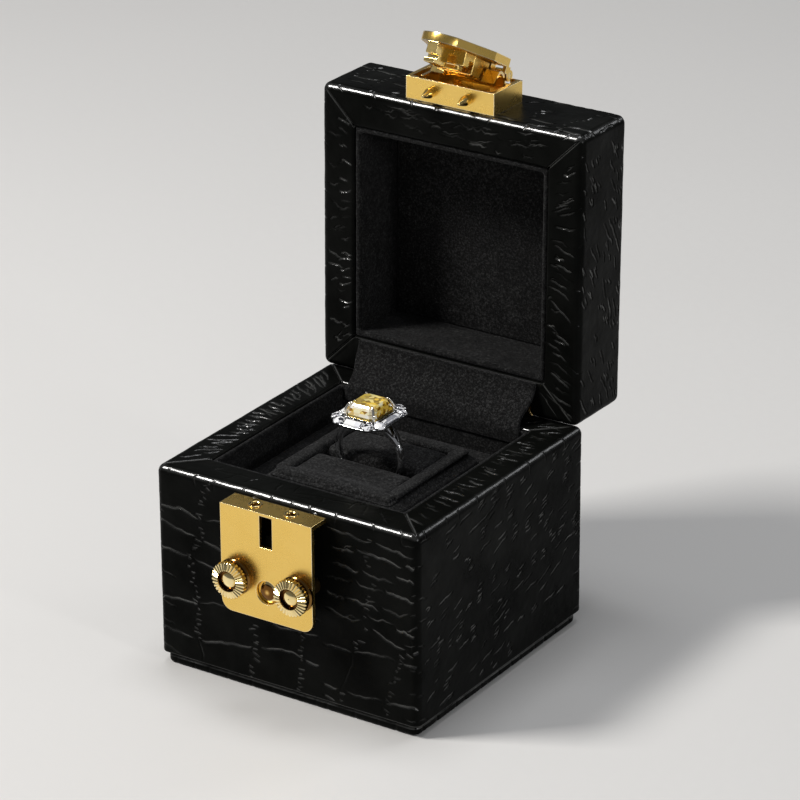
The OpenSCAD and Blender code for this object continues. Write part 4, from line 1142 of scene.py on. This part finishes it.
for k in range(4):
    u = -34.0
    while u < 34:
        w = 0.22 + 0.2 * rng.random()
        d = 0.08 + 0.12 * rng.random()
        dent = np.maximum(dent, np.where(side == k, d * np.exp(-(((around - u) / w) ** 2)), 0))
        u += 2.5 + 6 * rng.random()
out = np.array([w.normal for w in plate.data.vertices])
wall = smooth(np.maximum(np.abs(co[:, 0]), np.abs(co[:, 1])), 35.8, 36.8)
co -= out * (dent * wall)[:, None]
plate.data.vertices.foreach_set("co", (co * 0.001).astype(np.float32).ravel())
# painted highlight: a pale line round the plate's outer edge, given as crease depth for the leather's colour
a = plate.data.attributes.new("relief", "FLOAT", "POINT")
a.data.foreach_set("value", (smooth(np.maximum(np.abs(co[:, 0]), np.abs(co[:, 1])), 36.2, 36.6) * smooth(co[:, 2], 1.5, 1.9)).astype(np.float32))
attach(plate, "base")
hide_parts("bottom_plate")

prof = [(29.9, 29.9, 2.0, 0.38), (29.9, 29.9, 2.0, 0.15), (29.7, 29.7, 2.0, 0.03), (29.3, 29.3, 2.0, 0.0), (20, 20, 2, 0.0), (10, 10, 2, 0.0), (1, 1, 0.5, 0.0)]
pad = sweep("bottom_felt", prof, FELT, per_side=60, per_corner=5, cap_last=True, cap_first=True)
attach(pad, "base")
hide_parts("bottom_pad")

# ---------------------------------------------------------------- suede of the base
# lining of the well with a soft lip just below the rim
lip = arc(OPENING - 0.56, BASE_H - 0.95, 0.52, 0, 180, 8)
prof = [(x, x, 0.8, z) for x, z in resample([(OPENING - 0.04, 44.5), (OPENING - 0.04, BASE_H - 1.2)], 1.2)]
prof += [(x, x, 0.8, z) for x, z in lip]
prof += [(x, x, 0.8, z) for x, z in resample([(OPENING - 1.1, BASE_H - 1.4), (OPENING - 1.1, 45.0)], 0.7)]
well = sweep("well_lining", prof, SUEDE, per_side=150, per_corner=4, fuzz=0.05, seed=3)
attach(well, "base")
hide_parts("base_tray")

# floor of the well, with the recess that takes the cushion
W = OPENING - 1.1
prof = [(W, W, 0.8, 44.4), (W, W, 0.8, 45.0)]
prof += [(W - (W - 20.9) * f, W - (W - 20.9) * f, 1.0, 45.0 + 0.12 * math.sin(math.pi * f)) for f in np.linspace(0.05, 1, 9)]
prof += [(20.9 - 0.8 * math.sin(a), 20.9 - 0.8 * math.sin(a), 1.2, 44.2 + 0.8 * math.cos(a)) for a in np.linspace(0.3, math.pi / 2, 5)]
prof += [(20.1, 20.1, 1.2, z) for z in (43, 41, 39)]
prof += [(20.0, 20.0, 1.2, 38.0), (12, 12, 1, 38.0), (3, 3, 1, 38.0)]
b = len(prof)
P2 = []
for i, (hx, hy, r, z) in enumerate(prof):
    P2.append((hx, hy, r, z))
shelf = sweep("well_floor", P2, SUEDE, per_side=150, per_corner=4, fuzz=0.05, seed=8, cap_last=True)
co = np.array([w.co for w in shelf.data.vertices]) * 1000
m = np.max(np.abs(co[:, :2]), axis=1)
co[:, 0] += IX * (1 - smooth(m, 21.5, 26.5))
shelf.data.vertices.foreach_set("co", (co * 0.001).astype(np.float32).ravel())
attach(shelf, "base")
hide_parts("insert_board")

# ---------------------------------------------------------------- suede of the lid
LW = OPENING - 1.6
lip = arc(OPENING - 0.85, LZ0 + 1.2, 0.78, 0, -180, 9)
prof = [(x, x, 0.8, z) for x, z in resample([(OPENING - 0.05, LZ0 + 6.0), (OPENING - 0.05, LZ0 + 1.4)], 1.2)]
prof += [(x, x, 0.8, z) for x, z in lip]
prof += [(x, x, 0.8, z) for x, z in resample([(LW, LZ0 + 1.6), (LW, 71.6)], 0.7)]
lin = sweep("lid_lining", prof, SUEDE, per_side=150, per_corner=4, fuzz=0.05, seed=13, lid=True)
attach(lin, "lid")
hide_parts("lid_tray")

prof = [(LW - 0.02, LW - 0.02, 0.8, 72.4)]
prof += [(LW - 0.55 + 0.5 * math.cos(a), LW - 0.55 + 0.5 * math.cos(a), 0.8, 71.9 - 0.5 * math.sin(a)) for a in np.linspace(0.1, math.pi / 2, 5)]
prof += [(LW - 0.55 - (LW - 1.5) * f, LW - 0.55 - (LW - 1.5) * f, 1.0, 71.4 - 0.25 * math.sin(math.pi / 2 * f)) for f in np.linspace(0.03, 1, 28)]
lpad = sweep("lid_pad_suede", prof, SUEDE, per_side=110, per_corner=4, fuzz=0.04, seed=17, lid=True, cap_last=True, cap_first=True)
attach(lpad, "lid")
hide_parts("lid_pad")

# ---------------------------------------------------------------- suede strip over the hinge
zt = BASE_H
path = np.array([(OPENING - 1.55, zt - 4.0), (OPENING - 1.5, zt - 1.2), (OPENING - 1.2, zt + 0.1), (OPENING - 0.3, zt + 1.4), (30.7, zt + 4.5), (32.7, zt + 7.3), (33.35, zt + 8.6), (33.5, zt + 10.0)])


def spline(pts, n):
    pts = np.asarray(pts, float)
    s = np.concatenate([[0], np.cumsum(np.linalg.norm(np.diff(pts, axis=0), axis=1))])
    out = []
    for x in np.linspace(0, s[-1], n):
        i = min(len(pts) - 2, int(np.searchsorted(s, x, "right")) - 1)
        i = max(0, i)
        p0, p1, p2, p3 = pts[max(0, i - 1)], pts[i], pts[i + 1], pts[min(len(pts) - 1, i + 2)]
        t = (x - s[i]) / max(1e-9, s[i + 1] - s[i])
        out.append(0.5 * (2 * p1 + (p2 - p0) * t + (2 * p0 - 5 * p1 + 4 * p2 - p3) * t * t + (3 * p1 - p0 - 3 * p2 + p3) * t**3))
    return np.array(out)


line = spline(path, 44)
nx = 160
th = 0.7
tang = np.gradient(line, axis=0)
tang /= np.linalg.norm(tang, axis=1, keepdims=True)
nor = np.stack([tang[:, 1], -tang[:, 0]], -1)  # towards the rear and down
sl = np.linspace(0, 1, len(line))
# the ends are cut back in a curve where the strip bends over the edge
back = 1.1 * np.exp(-(((sl - 0.42) / 0.22) ** 2)) + 0.2
front, rear = [], []
for i, (y, z) in enumerate(line):
    xs = np.linspace(-26.4 + back[i], 26.4 - back[i], nx)
    bulge = 0.35 * np.sin(np.pi * sl[i]) * (1 - (xs / 26.4) ** 4)
    front.append(np.column_stack([xs, y - nor[i, 0] * bulge, z - nor[i, 1] * bulge]))
    rear.append(np.column_stack([xs, y + nor[i, 0] * (th - bulge), z + nor[i, 1] * (th - bulge)]))
front, rear = np.array(front), np.array(rear)
fz = 0.06 * vnoise(front, 2.4, 61) + 0.04 * vnoise(front, 0.9, 62)
front = front - fz[..., None] * np.concatenate([np.zeros((len(line), 1)), nor], 1)[:, None, :]
nt_ = len(line)
V = np.concatenate([front.reshape(-1, 3), rear.reshape(-1, 3)])
Q1 = grid_quads(nt_, nx)
Q2 = grid_quads(nt_, nx, flip=True) + nt_ * nx
K = nt_ * nx
side_q = []
for i in range(nt_ - 1):
    a, b = i * nx, (i + 1) * nx
    side_q += [(a, b, b + K, a + K), (a + nx - 1, a + nx - 1 + K, b + nx - 1 + K, b + nx - 1)]
for j in range(nx - 1):
    side_q += [(j, j + K, j + 1 + K, j + 1), ((nt_ - 1) * nx + j, (nt_ - 1) * nx + j + 1, (nt_ - 1) * nx + j + 1 + K, (nt_ - 1) * nx + j + K)]
flap = add_object("hinge_cover_suede", V, np.concatenate([Q1, Q2, np.array(side_q)]), SUEDE)
tidy(flap)
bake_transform(flap)
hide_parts("hinge_flap")

# ---------------------------------------------------------------- cushion
top = 50.0
prof = [(20.0, 20.0, 1.6, 38.2), (20.0, 20.0, 1.6, 40.0)]
prof += [(20.0 - 0.05 * f, 20.0 - 0.05 * f, 1.6, 40 + 6.2 * f) for f in np.linspace(0.1, 1, 8)]
prof += [(19.95 - 1.2 * (1 - math.cos(a)), 19.95 - 1.0 * (1 - math.cos(a)), 1.7, 46.2 + 1.2 * math.sin(a)) for a in np.linspace(0.2, 1.0, 4)]
prof += [(19.3 - 2.3 * f, 19.4 - 1.9 * f, 1.5, 47.25 + 1.9 * f) for f in np.linspace(0.1, 0.85, 7)]
prof += [(16.75 + 1.2 * math.cos(a), 17.25 + 1.2 * math.cos(a), 1.3, 48.75 + 1.22 * math.sin(a)) for a in np.linspace(0.4, math.pi / 2, 6)]
prof += [(16.75 - f, 17.25 - f, 1.2, 49.97 + 0.06 * math.sin(math.pi * f / 1.6)) for f in (0.4, 0.8, 1.2, 1.6)]
prof += [(15.1 + 1.1 * math.cos(a), 15.6 + 1.1 * math.cos(a), 0.8, 48.87 + 1.1 * math.sin(a)) for a in np.linspace(math.pi / 2 + 0.15, math.pi - 0.15, 6)]
prof += [(13.96, 14.46, 0.6, z) for z in (48.2, 46.5, 45.0, 43.6)]
fr = sweep("cushion_border", prof, SUEDE_SOFT, cx=IX, per_side=110, per_corner=6, fuzz=0.09, seed=71)
co = np.array([w.co for w in fr.data.vertices]) * 1000
co[:, 2] -= 0.8 * smooth(-co[:, 1], 14.1, 15.0) * smooth(co[:, 2], 48.4, 49.4)
fr.data.vertices.foreach_set("co", (co * 0.001).astype(np.float32).ravel())
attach(fr, "cushion")
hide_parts("cushion_frame")

for sgn, nm in ((-1, "front"), (1, "rear")):
    nxp, nyp = 120, 64
    y0, y1 = 1.4, 17.75 if sgn < 0 else 14.4
    sx, sy = np.meshgrid(np.linspace(0, 1, nxp), np.linspace(0, 1, nyp))
    Y = y0 + (y1 - y0) * sy
    # the front pad laps over the front of the border
    apron = smooth(Y, 13.9, 14.9) if sgn < 0 else 0 * Y
    half = 13.9 + 3.35 * apron
    X = IX + half * (2 * sx - 1)
    dx = half - np.abs(X - IX)
    dy0, dy1 = Y - y0, y1 - Y

    def roll(d, r):
        q = np.clip(1 - d / r, 0, 1)
        return r * (1 - np.sqrt(np.maximum(1 - q * q, 0)))

    side = 1 - apron + smooth(Y, 14.9, 15.9) * apron
    Z = 49.6 - roll(dy0, 2.2) - roll(dy1, 1.5) * (0.7 if sgn > 0 else 0.95) - roll(dx, 1.5) * 0.7 * side
    Z = Z + 0.35 * np.sin(np.pi * sx) * np.sin(np.pi * np.clip(sy * 0.8 + 0.1, 0, 1)) - 0.2 + 0.62 * (smooth(Y, 11.5, 14.6) if sgn < 0 else 0)
    P = np.stack([X, Y * sgn, Z], -1)
    Z = Z + 0.07 * vnoise(P, 2.6, 81) + 0.05 * vnoise(P, 0.9, 82)
    P[..., 2] = Z
    bot = P.copy()
    bot[..., 2] = np.minimum(43.6 + 5.4 * smooth(Y, 14.0, 14.5), Z - 0.1)
    K = nxp * nyp
    Q = [grid_quads(nyp, nxp, flip=sgn < 0), grid_quads(nyp, nxp, flip=sgn > 0) + K]
    rim = list(range(nxp)) + [i * nxp + nxp - 1 for i in range(1, nyp)] + [(nyp - 1) * nxp + j for j in range(nxp - 2, -1, -1)] + [i * nxp for i in range(nyp - 2, 0, -1)]
    sq = [(a, a + K, b + K, b) for a, b in zip(rim, rim[1:] + rim[:1])]
    o = add_object(f"pad_{nm}_suede", np.concatenate([P.reshape(-1, 3), bot.reshape(-1, 3)]), np.concatenate([*Q, np.array(sq)]), SUEDE_SOFT)
    tidy(o)
    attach(o, "cushion")
    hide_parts(f"pad_{nm}")


# ---------------------------------------------------------------- ring
def octagon(x, y, c, z):
    return [(-x + c, -y, z), (x - c, -y, z), (x, -y + c, z), (x, y - c, z), (x - c, y, z), (-x + c, y, z), (-x, y - c, z), (-x, -y + c, z)]


def step_cut(layers, cx, cy):
    V, F = [], []
    for x, y, c, z in layers:
        V += [(px + cx, py + cy, pz) for px, py, pz in octagon(x, y, c, z)]
    n = len(layers)
    for i in range(n - 1):
        for k in range(8):
            k1 = (k + 1) % 8
            F.append((i * 8 + k, i * 8 + k1, (i + 1) * 8 + k1, (i + 1) * 8 + k))
    F.append(tuple(range(7, -1, -1)))
    F.append(tuple((n - 1) * 8 + k for k in range(8)))
    return V, F


def backed(o, mat, extra=(), pick=None):
    """Facets that look downwards get the pavilion's material; pick may give others one of the extra materials."""
    o.data.materials.append(mat)
    for m in extra:
        o.data.materials.append(m)
    for p in o.data.polygons:
        if p.normal.z < -0.05:
            p.material_index = 1
        elif pick:
            p.material_index = pick(p)


g = GTOP
layers = [(1.1, 1.4, 0.35, g - 1.08), (2.2, 2.52, 0.65, g - 0.85), (3.2, 3.55, 0.98, g - 0.55), (3.95, 4.3, 1.26, g - 0.2), (4.43, 4.78, 1.45, g + 0.18), (4.46, 4.81, 1.45, g + 0.5), (4.24, 4.58, 1.37, g + 1.25), (3.95, 4.29, 1.25, g + 2.0), (3.58, 3.92, 1.1, g + 2.62), (3.14, 3.48, 0.92, g + 3.05)]
stone = from_lists("centre_stone_cut", [step_cut(layers, IX, 0)], YELLOW, smooth_on=False)


def stone_pick(p):
    """Painted light: pale lit-looking facets to the front and left, shaded deep ones alternating on the right, a
    darker table.
    """
    n, c = p.normal, p.center * 1000
    if n.z > 0.98:
        return 4
    row = sum(c.z > g + q for q in (0.6, 1.25, 2.0, 2.62))
    if n.y < -0.35 or n.x < -0.6:
        return 2 if row != 2 else 0
    if n.x > 0.35:
        return (0, 3, 0, 3, 0)[row]
    return (3, 0, 3, 0, 2)[row]


backed(stone, YELLOW_BACK, (YELLOW_PAINTED_LIT, YELLOW_PAINTED_SHADE, YELLOW_TABLE), stone_pick)
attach(stone, "ring")
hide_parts("centre_stone")


def brilliant(cx, cy, z, r, turn_by=0.0):
    """Round cut: table, stars, kites, girdle and pavilion."""
    V, F = [], []

    def ringpts(rad, h, n, off):
        k0 = len(V)
        for k in range(n):
            a = 2 * math.pi * (k + off) / n + turn_by
            V.append((cx + rad * math.cos(a), cy + rad * math.sin(a), z + h))
        return k0

    g0 = ringpts(r, -0.03 * r, 16, 0)
    g1 = ringpts(r, 0.05 * r, 16, 0)
    mid = ringpts(r * 0.79, 0.22 * r, 8, 0.5)
    tb = ringpts(r * 0.56, 0.34 * r, 8, 0)
    pav = ringpts(r * 0.45, -0.52 * r, 8, 0.5)
    V.append((cx, cy, z - 0.86 * r))
    cu = len(V) - 1
    F.append(tuple(tb + k for k in range(8)))
    for k in range(8):
        k1 = (k + 1) % 8
        F.append((tb + k, mid + k, tb + k1))
        F.append((tb + k1, mid + k, g1 + (2 * k + 2) % 16, mid + k1))
        F.append((mid + k, g1 + 2 * k, g1 + (2 * k + 1) % 16))
        F.append((mid + k, g1 + (2 * k + 1) % 16, g1 + (2 * k + 2) % 16))
        F.append((pav + k, g0 + (2 * k + 1) % 16, g0 + 2 * k))
        F.append((pav + k, g0 + (2 * k + 2) % 16, g0 + (2 * k + 1) % 16))
        F.append((cu, pav + k1, g0 + (2 * k + 2) % 16, pav + k))
    for k in range(16):
        k1 = (k + 1) % 16
        F.append((g0 + k, g0 + k1, g1 + k1, g1 + k))
    return V, F


hal_z = SEAT + 1.16


def leaned(part, cx, cy, z, ang):
    """Tips a stone outwards about its own middle."""
    V, F = part
    out = Vector((cx - IX, cy, 0)).normalized()
    rot = Matrix.Rotation(math.radians(ang), 3, Vector((0, 0, 1)).cross(out))
    c = Vector((cx, cy, z))
    return [tuple(c + rot @ (Vector(v) - c)) for v in V], F


rounds = [(x * a, y * b) for x in (-1, 1) for y in (-1, 1) for a, b in ((6.3, 4.95), (4.2, 7.2))]
parts = [leaned(brilliant(IX + x, y, hal_z, 1.44, 0.3 * i), IX + x, y, hal_z, 18) for i, (x, y) in enumerate(rounds)]
o = from_lists("halo_rounds_cut", parts, CLEAR, smooth_on=False)
# a few facets take the darker copy, as painted dark reflections
backed(o, CLEAR_BACK, (CLEAR_PAINTED_DARK,), lambda p: 2 if (p.index * 7) % 5 == 0 else 0)
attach(o, "ring")
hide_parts("halo_rounds")


def baguette(cx, cy, hx, hy, z):
    long_x = hx > hy
    lay = []
    for f1, f2, dz in ((0.3, 0.6, -0.45), (0.75, 0.88, -0.2), (1, 1, 0), (1, 1, 0.1), (0.8, 0.93, 0.28), (0.6, 0.86, 0.38)):
        lay.append((hx * (f2 if long_x else f1), hy * (f1 if long_x else f2), 0.05, z + dz))
    return leaned(step_cut(lay, cx, cy), cx, cy, z, 10 if cx else 0)


parts = [leaned(baguette(IX, s * 7.2, 2.52, 1.0, hal_z - 0.08), IX, s * 7.2, hal_z, 18) for s in (-1, 1)]
for s in (-1, 1):
    for q in (-1, 1):
        V, F = baguette(IX + s * 6.25, q * 1.72, 0.95, 1.64, hal_z - 0.08)
        parts.append((V, F))
o = from_lists("halo_baguettes_cut", parts, CLEAR_BAR, smooth_on=False)
# a few facets take the darker copy, as painted dark reflections
backed(o, CLEAR_BACK, (CLEAR_PAINTED_DARK,), lambda p: 2 if p.index % 6 == 4 else 0)
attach(o, "ring")
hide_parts("halo_baguettes")

# claws over the corners of the centre stone
parts = []
for sx in (-1, 1):
    for sy in (-1, 1):
        p = [(4.05, 4.42, g - 0.15), (4.1, 4.46, g + 0.7), (4.0, 4.36, g + 1.4), (3.76, 4.1, g + 2.1), (3.44, 3.78, g + 2.72), (3.05, 3.4, g + 3.12), (2.7, 3.06, g + 3.2)]
        p = spline(np.array([(IX + sx * a, sy * b, c) for a, b, c in p]), 20)
        parts.append(tube(p, [0.47 - 0.009 * i for i in range(len(p) - 3)] + [0.26, 0.18, 0.07], 12))
o = from_lists("claws", parts, PRONG, angle=50)
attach(o, "ring")
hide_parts("ring_prongs")


def bead(cx, cy, cz, r, n=8, m=5):
    V, F = [(cx, cy, cz + r)], []
    for i in range(1, m + 1):
        a = math.pi * 0.62 * i / m
        for k in range(n):
            b = 2 * math.pi * k / n
            V.append((cx + r * math.sin(a) * math.cos(b), cy + r * math.sin(a) * math.sin(b), cz + r * math.cos(a)))
    for k in range(n):
        F.append((0, 1 + k, 1 + (k + 1) % n))
    for i in range(m - 1):
        for k in range(n):
            k1 = (k + 1) % n
            F.append((1 + i * n + k, 1 + (i + 1) * n + k, 1 + (i + 1) * n + k1, 1 + i * n + k1))
    F.append(tuple(1 + (m - 1) * n + k for k in range(n)))
    return V, F


parts = []
for x, y in rounds:
    for a in range(4):
        th_ = math.atan2(y, x) + math.pi / 4 + a * math.pi / 2
        bx, by = IX + x + 1.4 * math.cos(th_), y + 1.4 * math.sin(th_)
        hz = SEAT + 1.3 - 0.36 * math.cos(th_ - math.atan2(y, x))
        parts.append(tube([(bx, by, SEAT + 0.4), (bx, by, SEAT + 0.8), (bx, by, hz)], [0.21, 0.2, 0.19], 8))
        parts.append(bead(bx, by, hz, 0.24))
for s in (-1, 1):
    for q in (-1, 1):
        for bx, by in ((IX + q * 2.5, s * 6.3), (IX + q * 2.5, s * 8.02), (IX + s * 5.4, q * 3.38), (IX + s * 7.08, q * 3.38)):
            parts.append(tube([(bx, by, SEAT + 0.4), (bx, by, SEAT + 1.1)], [0.19, 0.18], 8))
            parts.append(bead(bx, by, SEAT + 1.14, 0.21))
    for bx in (5.4, 7.08):
        parts.append(tube([(IX + s * bx, 0, SEAT + 0.4), (IX + s * bx, 0, SEAT + 1.1)], [0.19, 0.18], 8))
        parts.append(bead(IX + s * bx, 0, SEAT + 1.14, 0.21))
o = from_lists("halo_beads", parts, WHITE_GOLD, angle=50)
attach(o, "ring")

# ---------------------------------------------------------------- CAD nodes that stay
def coil(name, node, axis, turns, low_end):
    """A wound spring in the place of the plain tube."""
    lo, hi = (np.array(v) * 1000 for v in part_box(node))
    wire = 0.15
    c, L = (lo + hi) / 2, hi[axis] - lo[axis]
    r = (hi[0] - lo[0]) / 2 - wire
    pts = []
    n = turns * 18
    for i in range(n + 1):
        f = i / n
        g = f - 0.4 * math.sin(2 * math.pi * f) / (2 * math.pi)
        q = [c[0] + r * math.cos(2 * math.pi * turns * f), c[1], c[2]]
        q[3 - axis] = c[3 - axis] + r * math.sin(2 * math.pi * turns * f)
        q[axis] = lo[axis] + wire + (L - 2 * wire) * g
        pts.append(tuple(q))
    o = from_lists(name, [tube(pts, wire, 8)], STEEL)
    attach(o, "base")
    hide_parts(node)
    end = Vector(c * 0.001)
    end[axis] = (lo if low_end else hi)[axis] * 0.001
    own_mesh(o)


coil("button_coil", "button_spring", 1, 6, False)
coil("catch_coil", "catch_spring", 2, 8, True)

LOOK = {
    "base_carcass": BOARD,
    "lid_carcass": BOARD,
    "insert_block": FOAM,
    "cushion_core": FOAM,
    "hinge_leaf_base": HINGE_BRASS,
    "hinge_leaf_lid": HINGE_BRASS,
    "hinge_screws_base": HINGE_BRASS,
    "hinge_screws_lid": HINGE_BRASS,
    "hinge_pin": HINGE_BRASS,
    "lock_plate": GOLD,
    "guide_bush_left": GOLD_BRIGHT,
    "guide_bush_right": GOLD_BRIGHT,
    "lock_case": BRASS_SHADED,
    "stud_left": BRASS_SHADED,
    "stud_right": BRASS_SHADED,
    "knob_left": KNOB_LEFT,
    "knob_right": KNOB_RIGHT,
    "button": BUTTON,
    "button_spring": STEEL,
    "catch": STEEL_SLOT_SHADE,
    "catch_spring": STEEL,
    "ring_band": WHITE_GOLD,
    "ring_gallery": WHITE_GOLD,
    "ring_halo": WHITE_GOLD,
    "hasp_box": GOLD,
    "hasp_rivets": GOLD_BRIGHT,
    "locating_pin_left": GOLD_BRIGHT,
    "locating_pin_right": GOLD_BRIGHT,
    "hasp_hinge_pin": GOLD_BRIGHT,
    "hasp_spring": GOLD_BRIGHT,
    "flap_plate": GOLD,
    "flap_block": GOLD,
    "flap_lug": GOLD,
    "flap_tongue": GOLD_BRIGHT,
}
BEVEL = {
    "lock_plate": 0.32,
    "hasp_box": 0.28,
    "flap_plate": 0.3,
    "flap_block": 0.25,
    "flap_lug": 0.2,
    "flap_tongue": 0.15,
    "knob_left": 0.06,
    "knob_right": 0.06,
    "hinge_leaf_base": 0.12,
    "hinge_leaf_lid": 0.12,
    "hasp_spring": 0.08,
    "ring_band": 0.48,
    "ring_gallery": 0.1,
    "ring_halo": 0.12,
    "lock_case": 0.2,
    "catch": 0.1,
    "hasp_rivets": 0.1,
    "locating_pin_left": 0.12,
    "locating_pin_right": 0.12,
    "hasp_hinge_pin": 0.1,
    "guide_bush_left": 0.08,
    "guide_bush_right": 0.08,
    "button": 0.1,
}
for name, mat in LOOK.items():
    o = NODES[name]
    if not o.material_slots:
        o.data.materials.append(mat)
    for s in o.material_slots:
        s.link = "OBJECT"
        s.material = mat
    if name in BEVEL:
        w = o.modifiers.new("weld", "WELD")
        w.merge_threshold = 1e-6
        d = o.modifiers.new("flat", "DECIMATE")
        d.decimate_type = "DISSOLVE"
        d.angle_limit = math.radians(0.4)
        b = o.modifiers.new("edge", "BEVEL")
        b.width = BEVEL[name] * 0.001
        b.segments = 3
        b.limit_method = "ANGLE"
        b.angle_limit = math.radians(35)
        b.harden_normals = True
        b.use_clamp_overlap = True
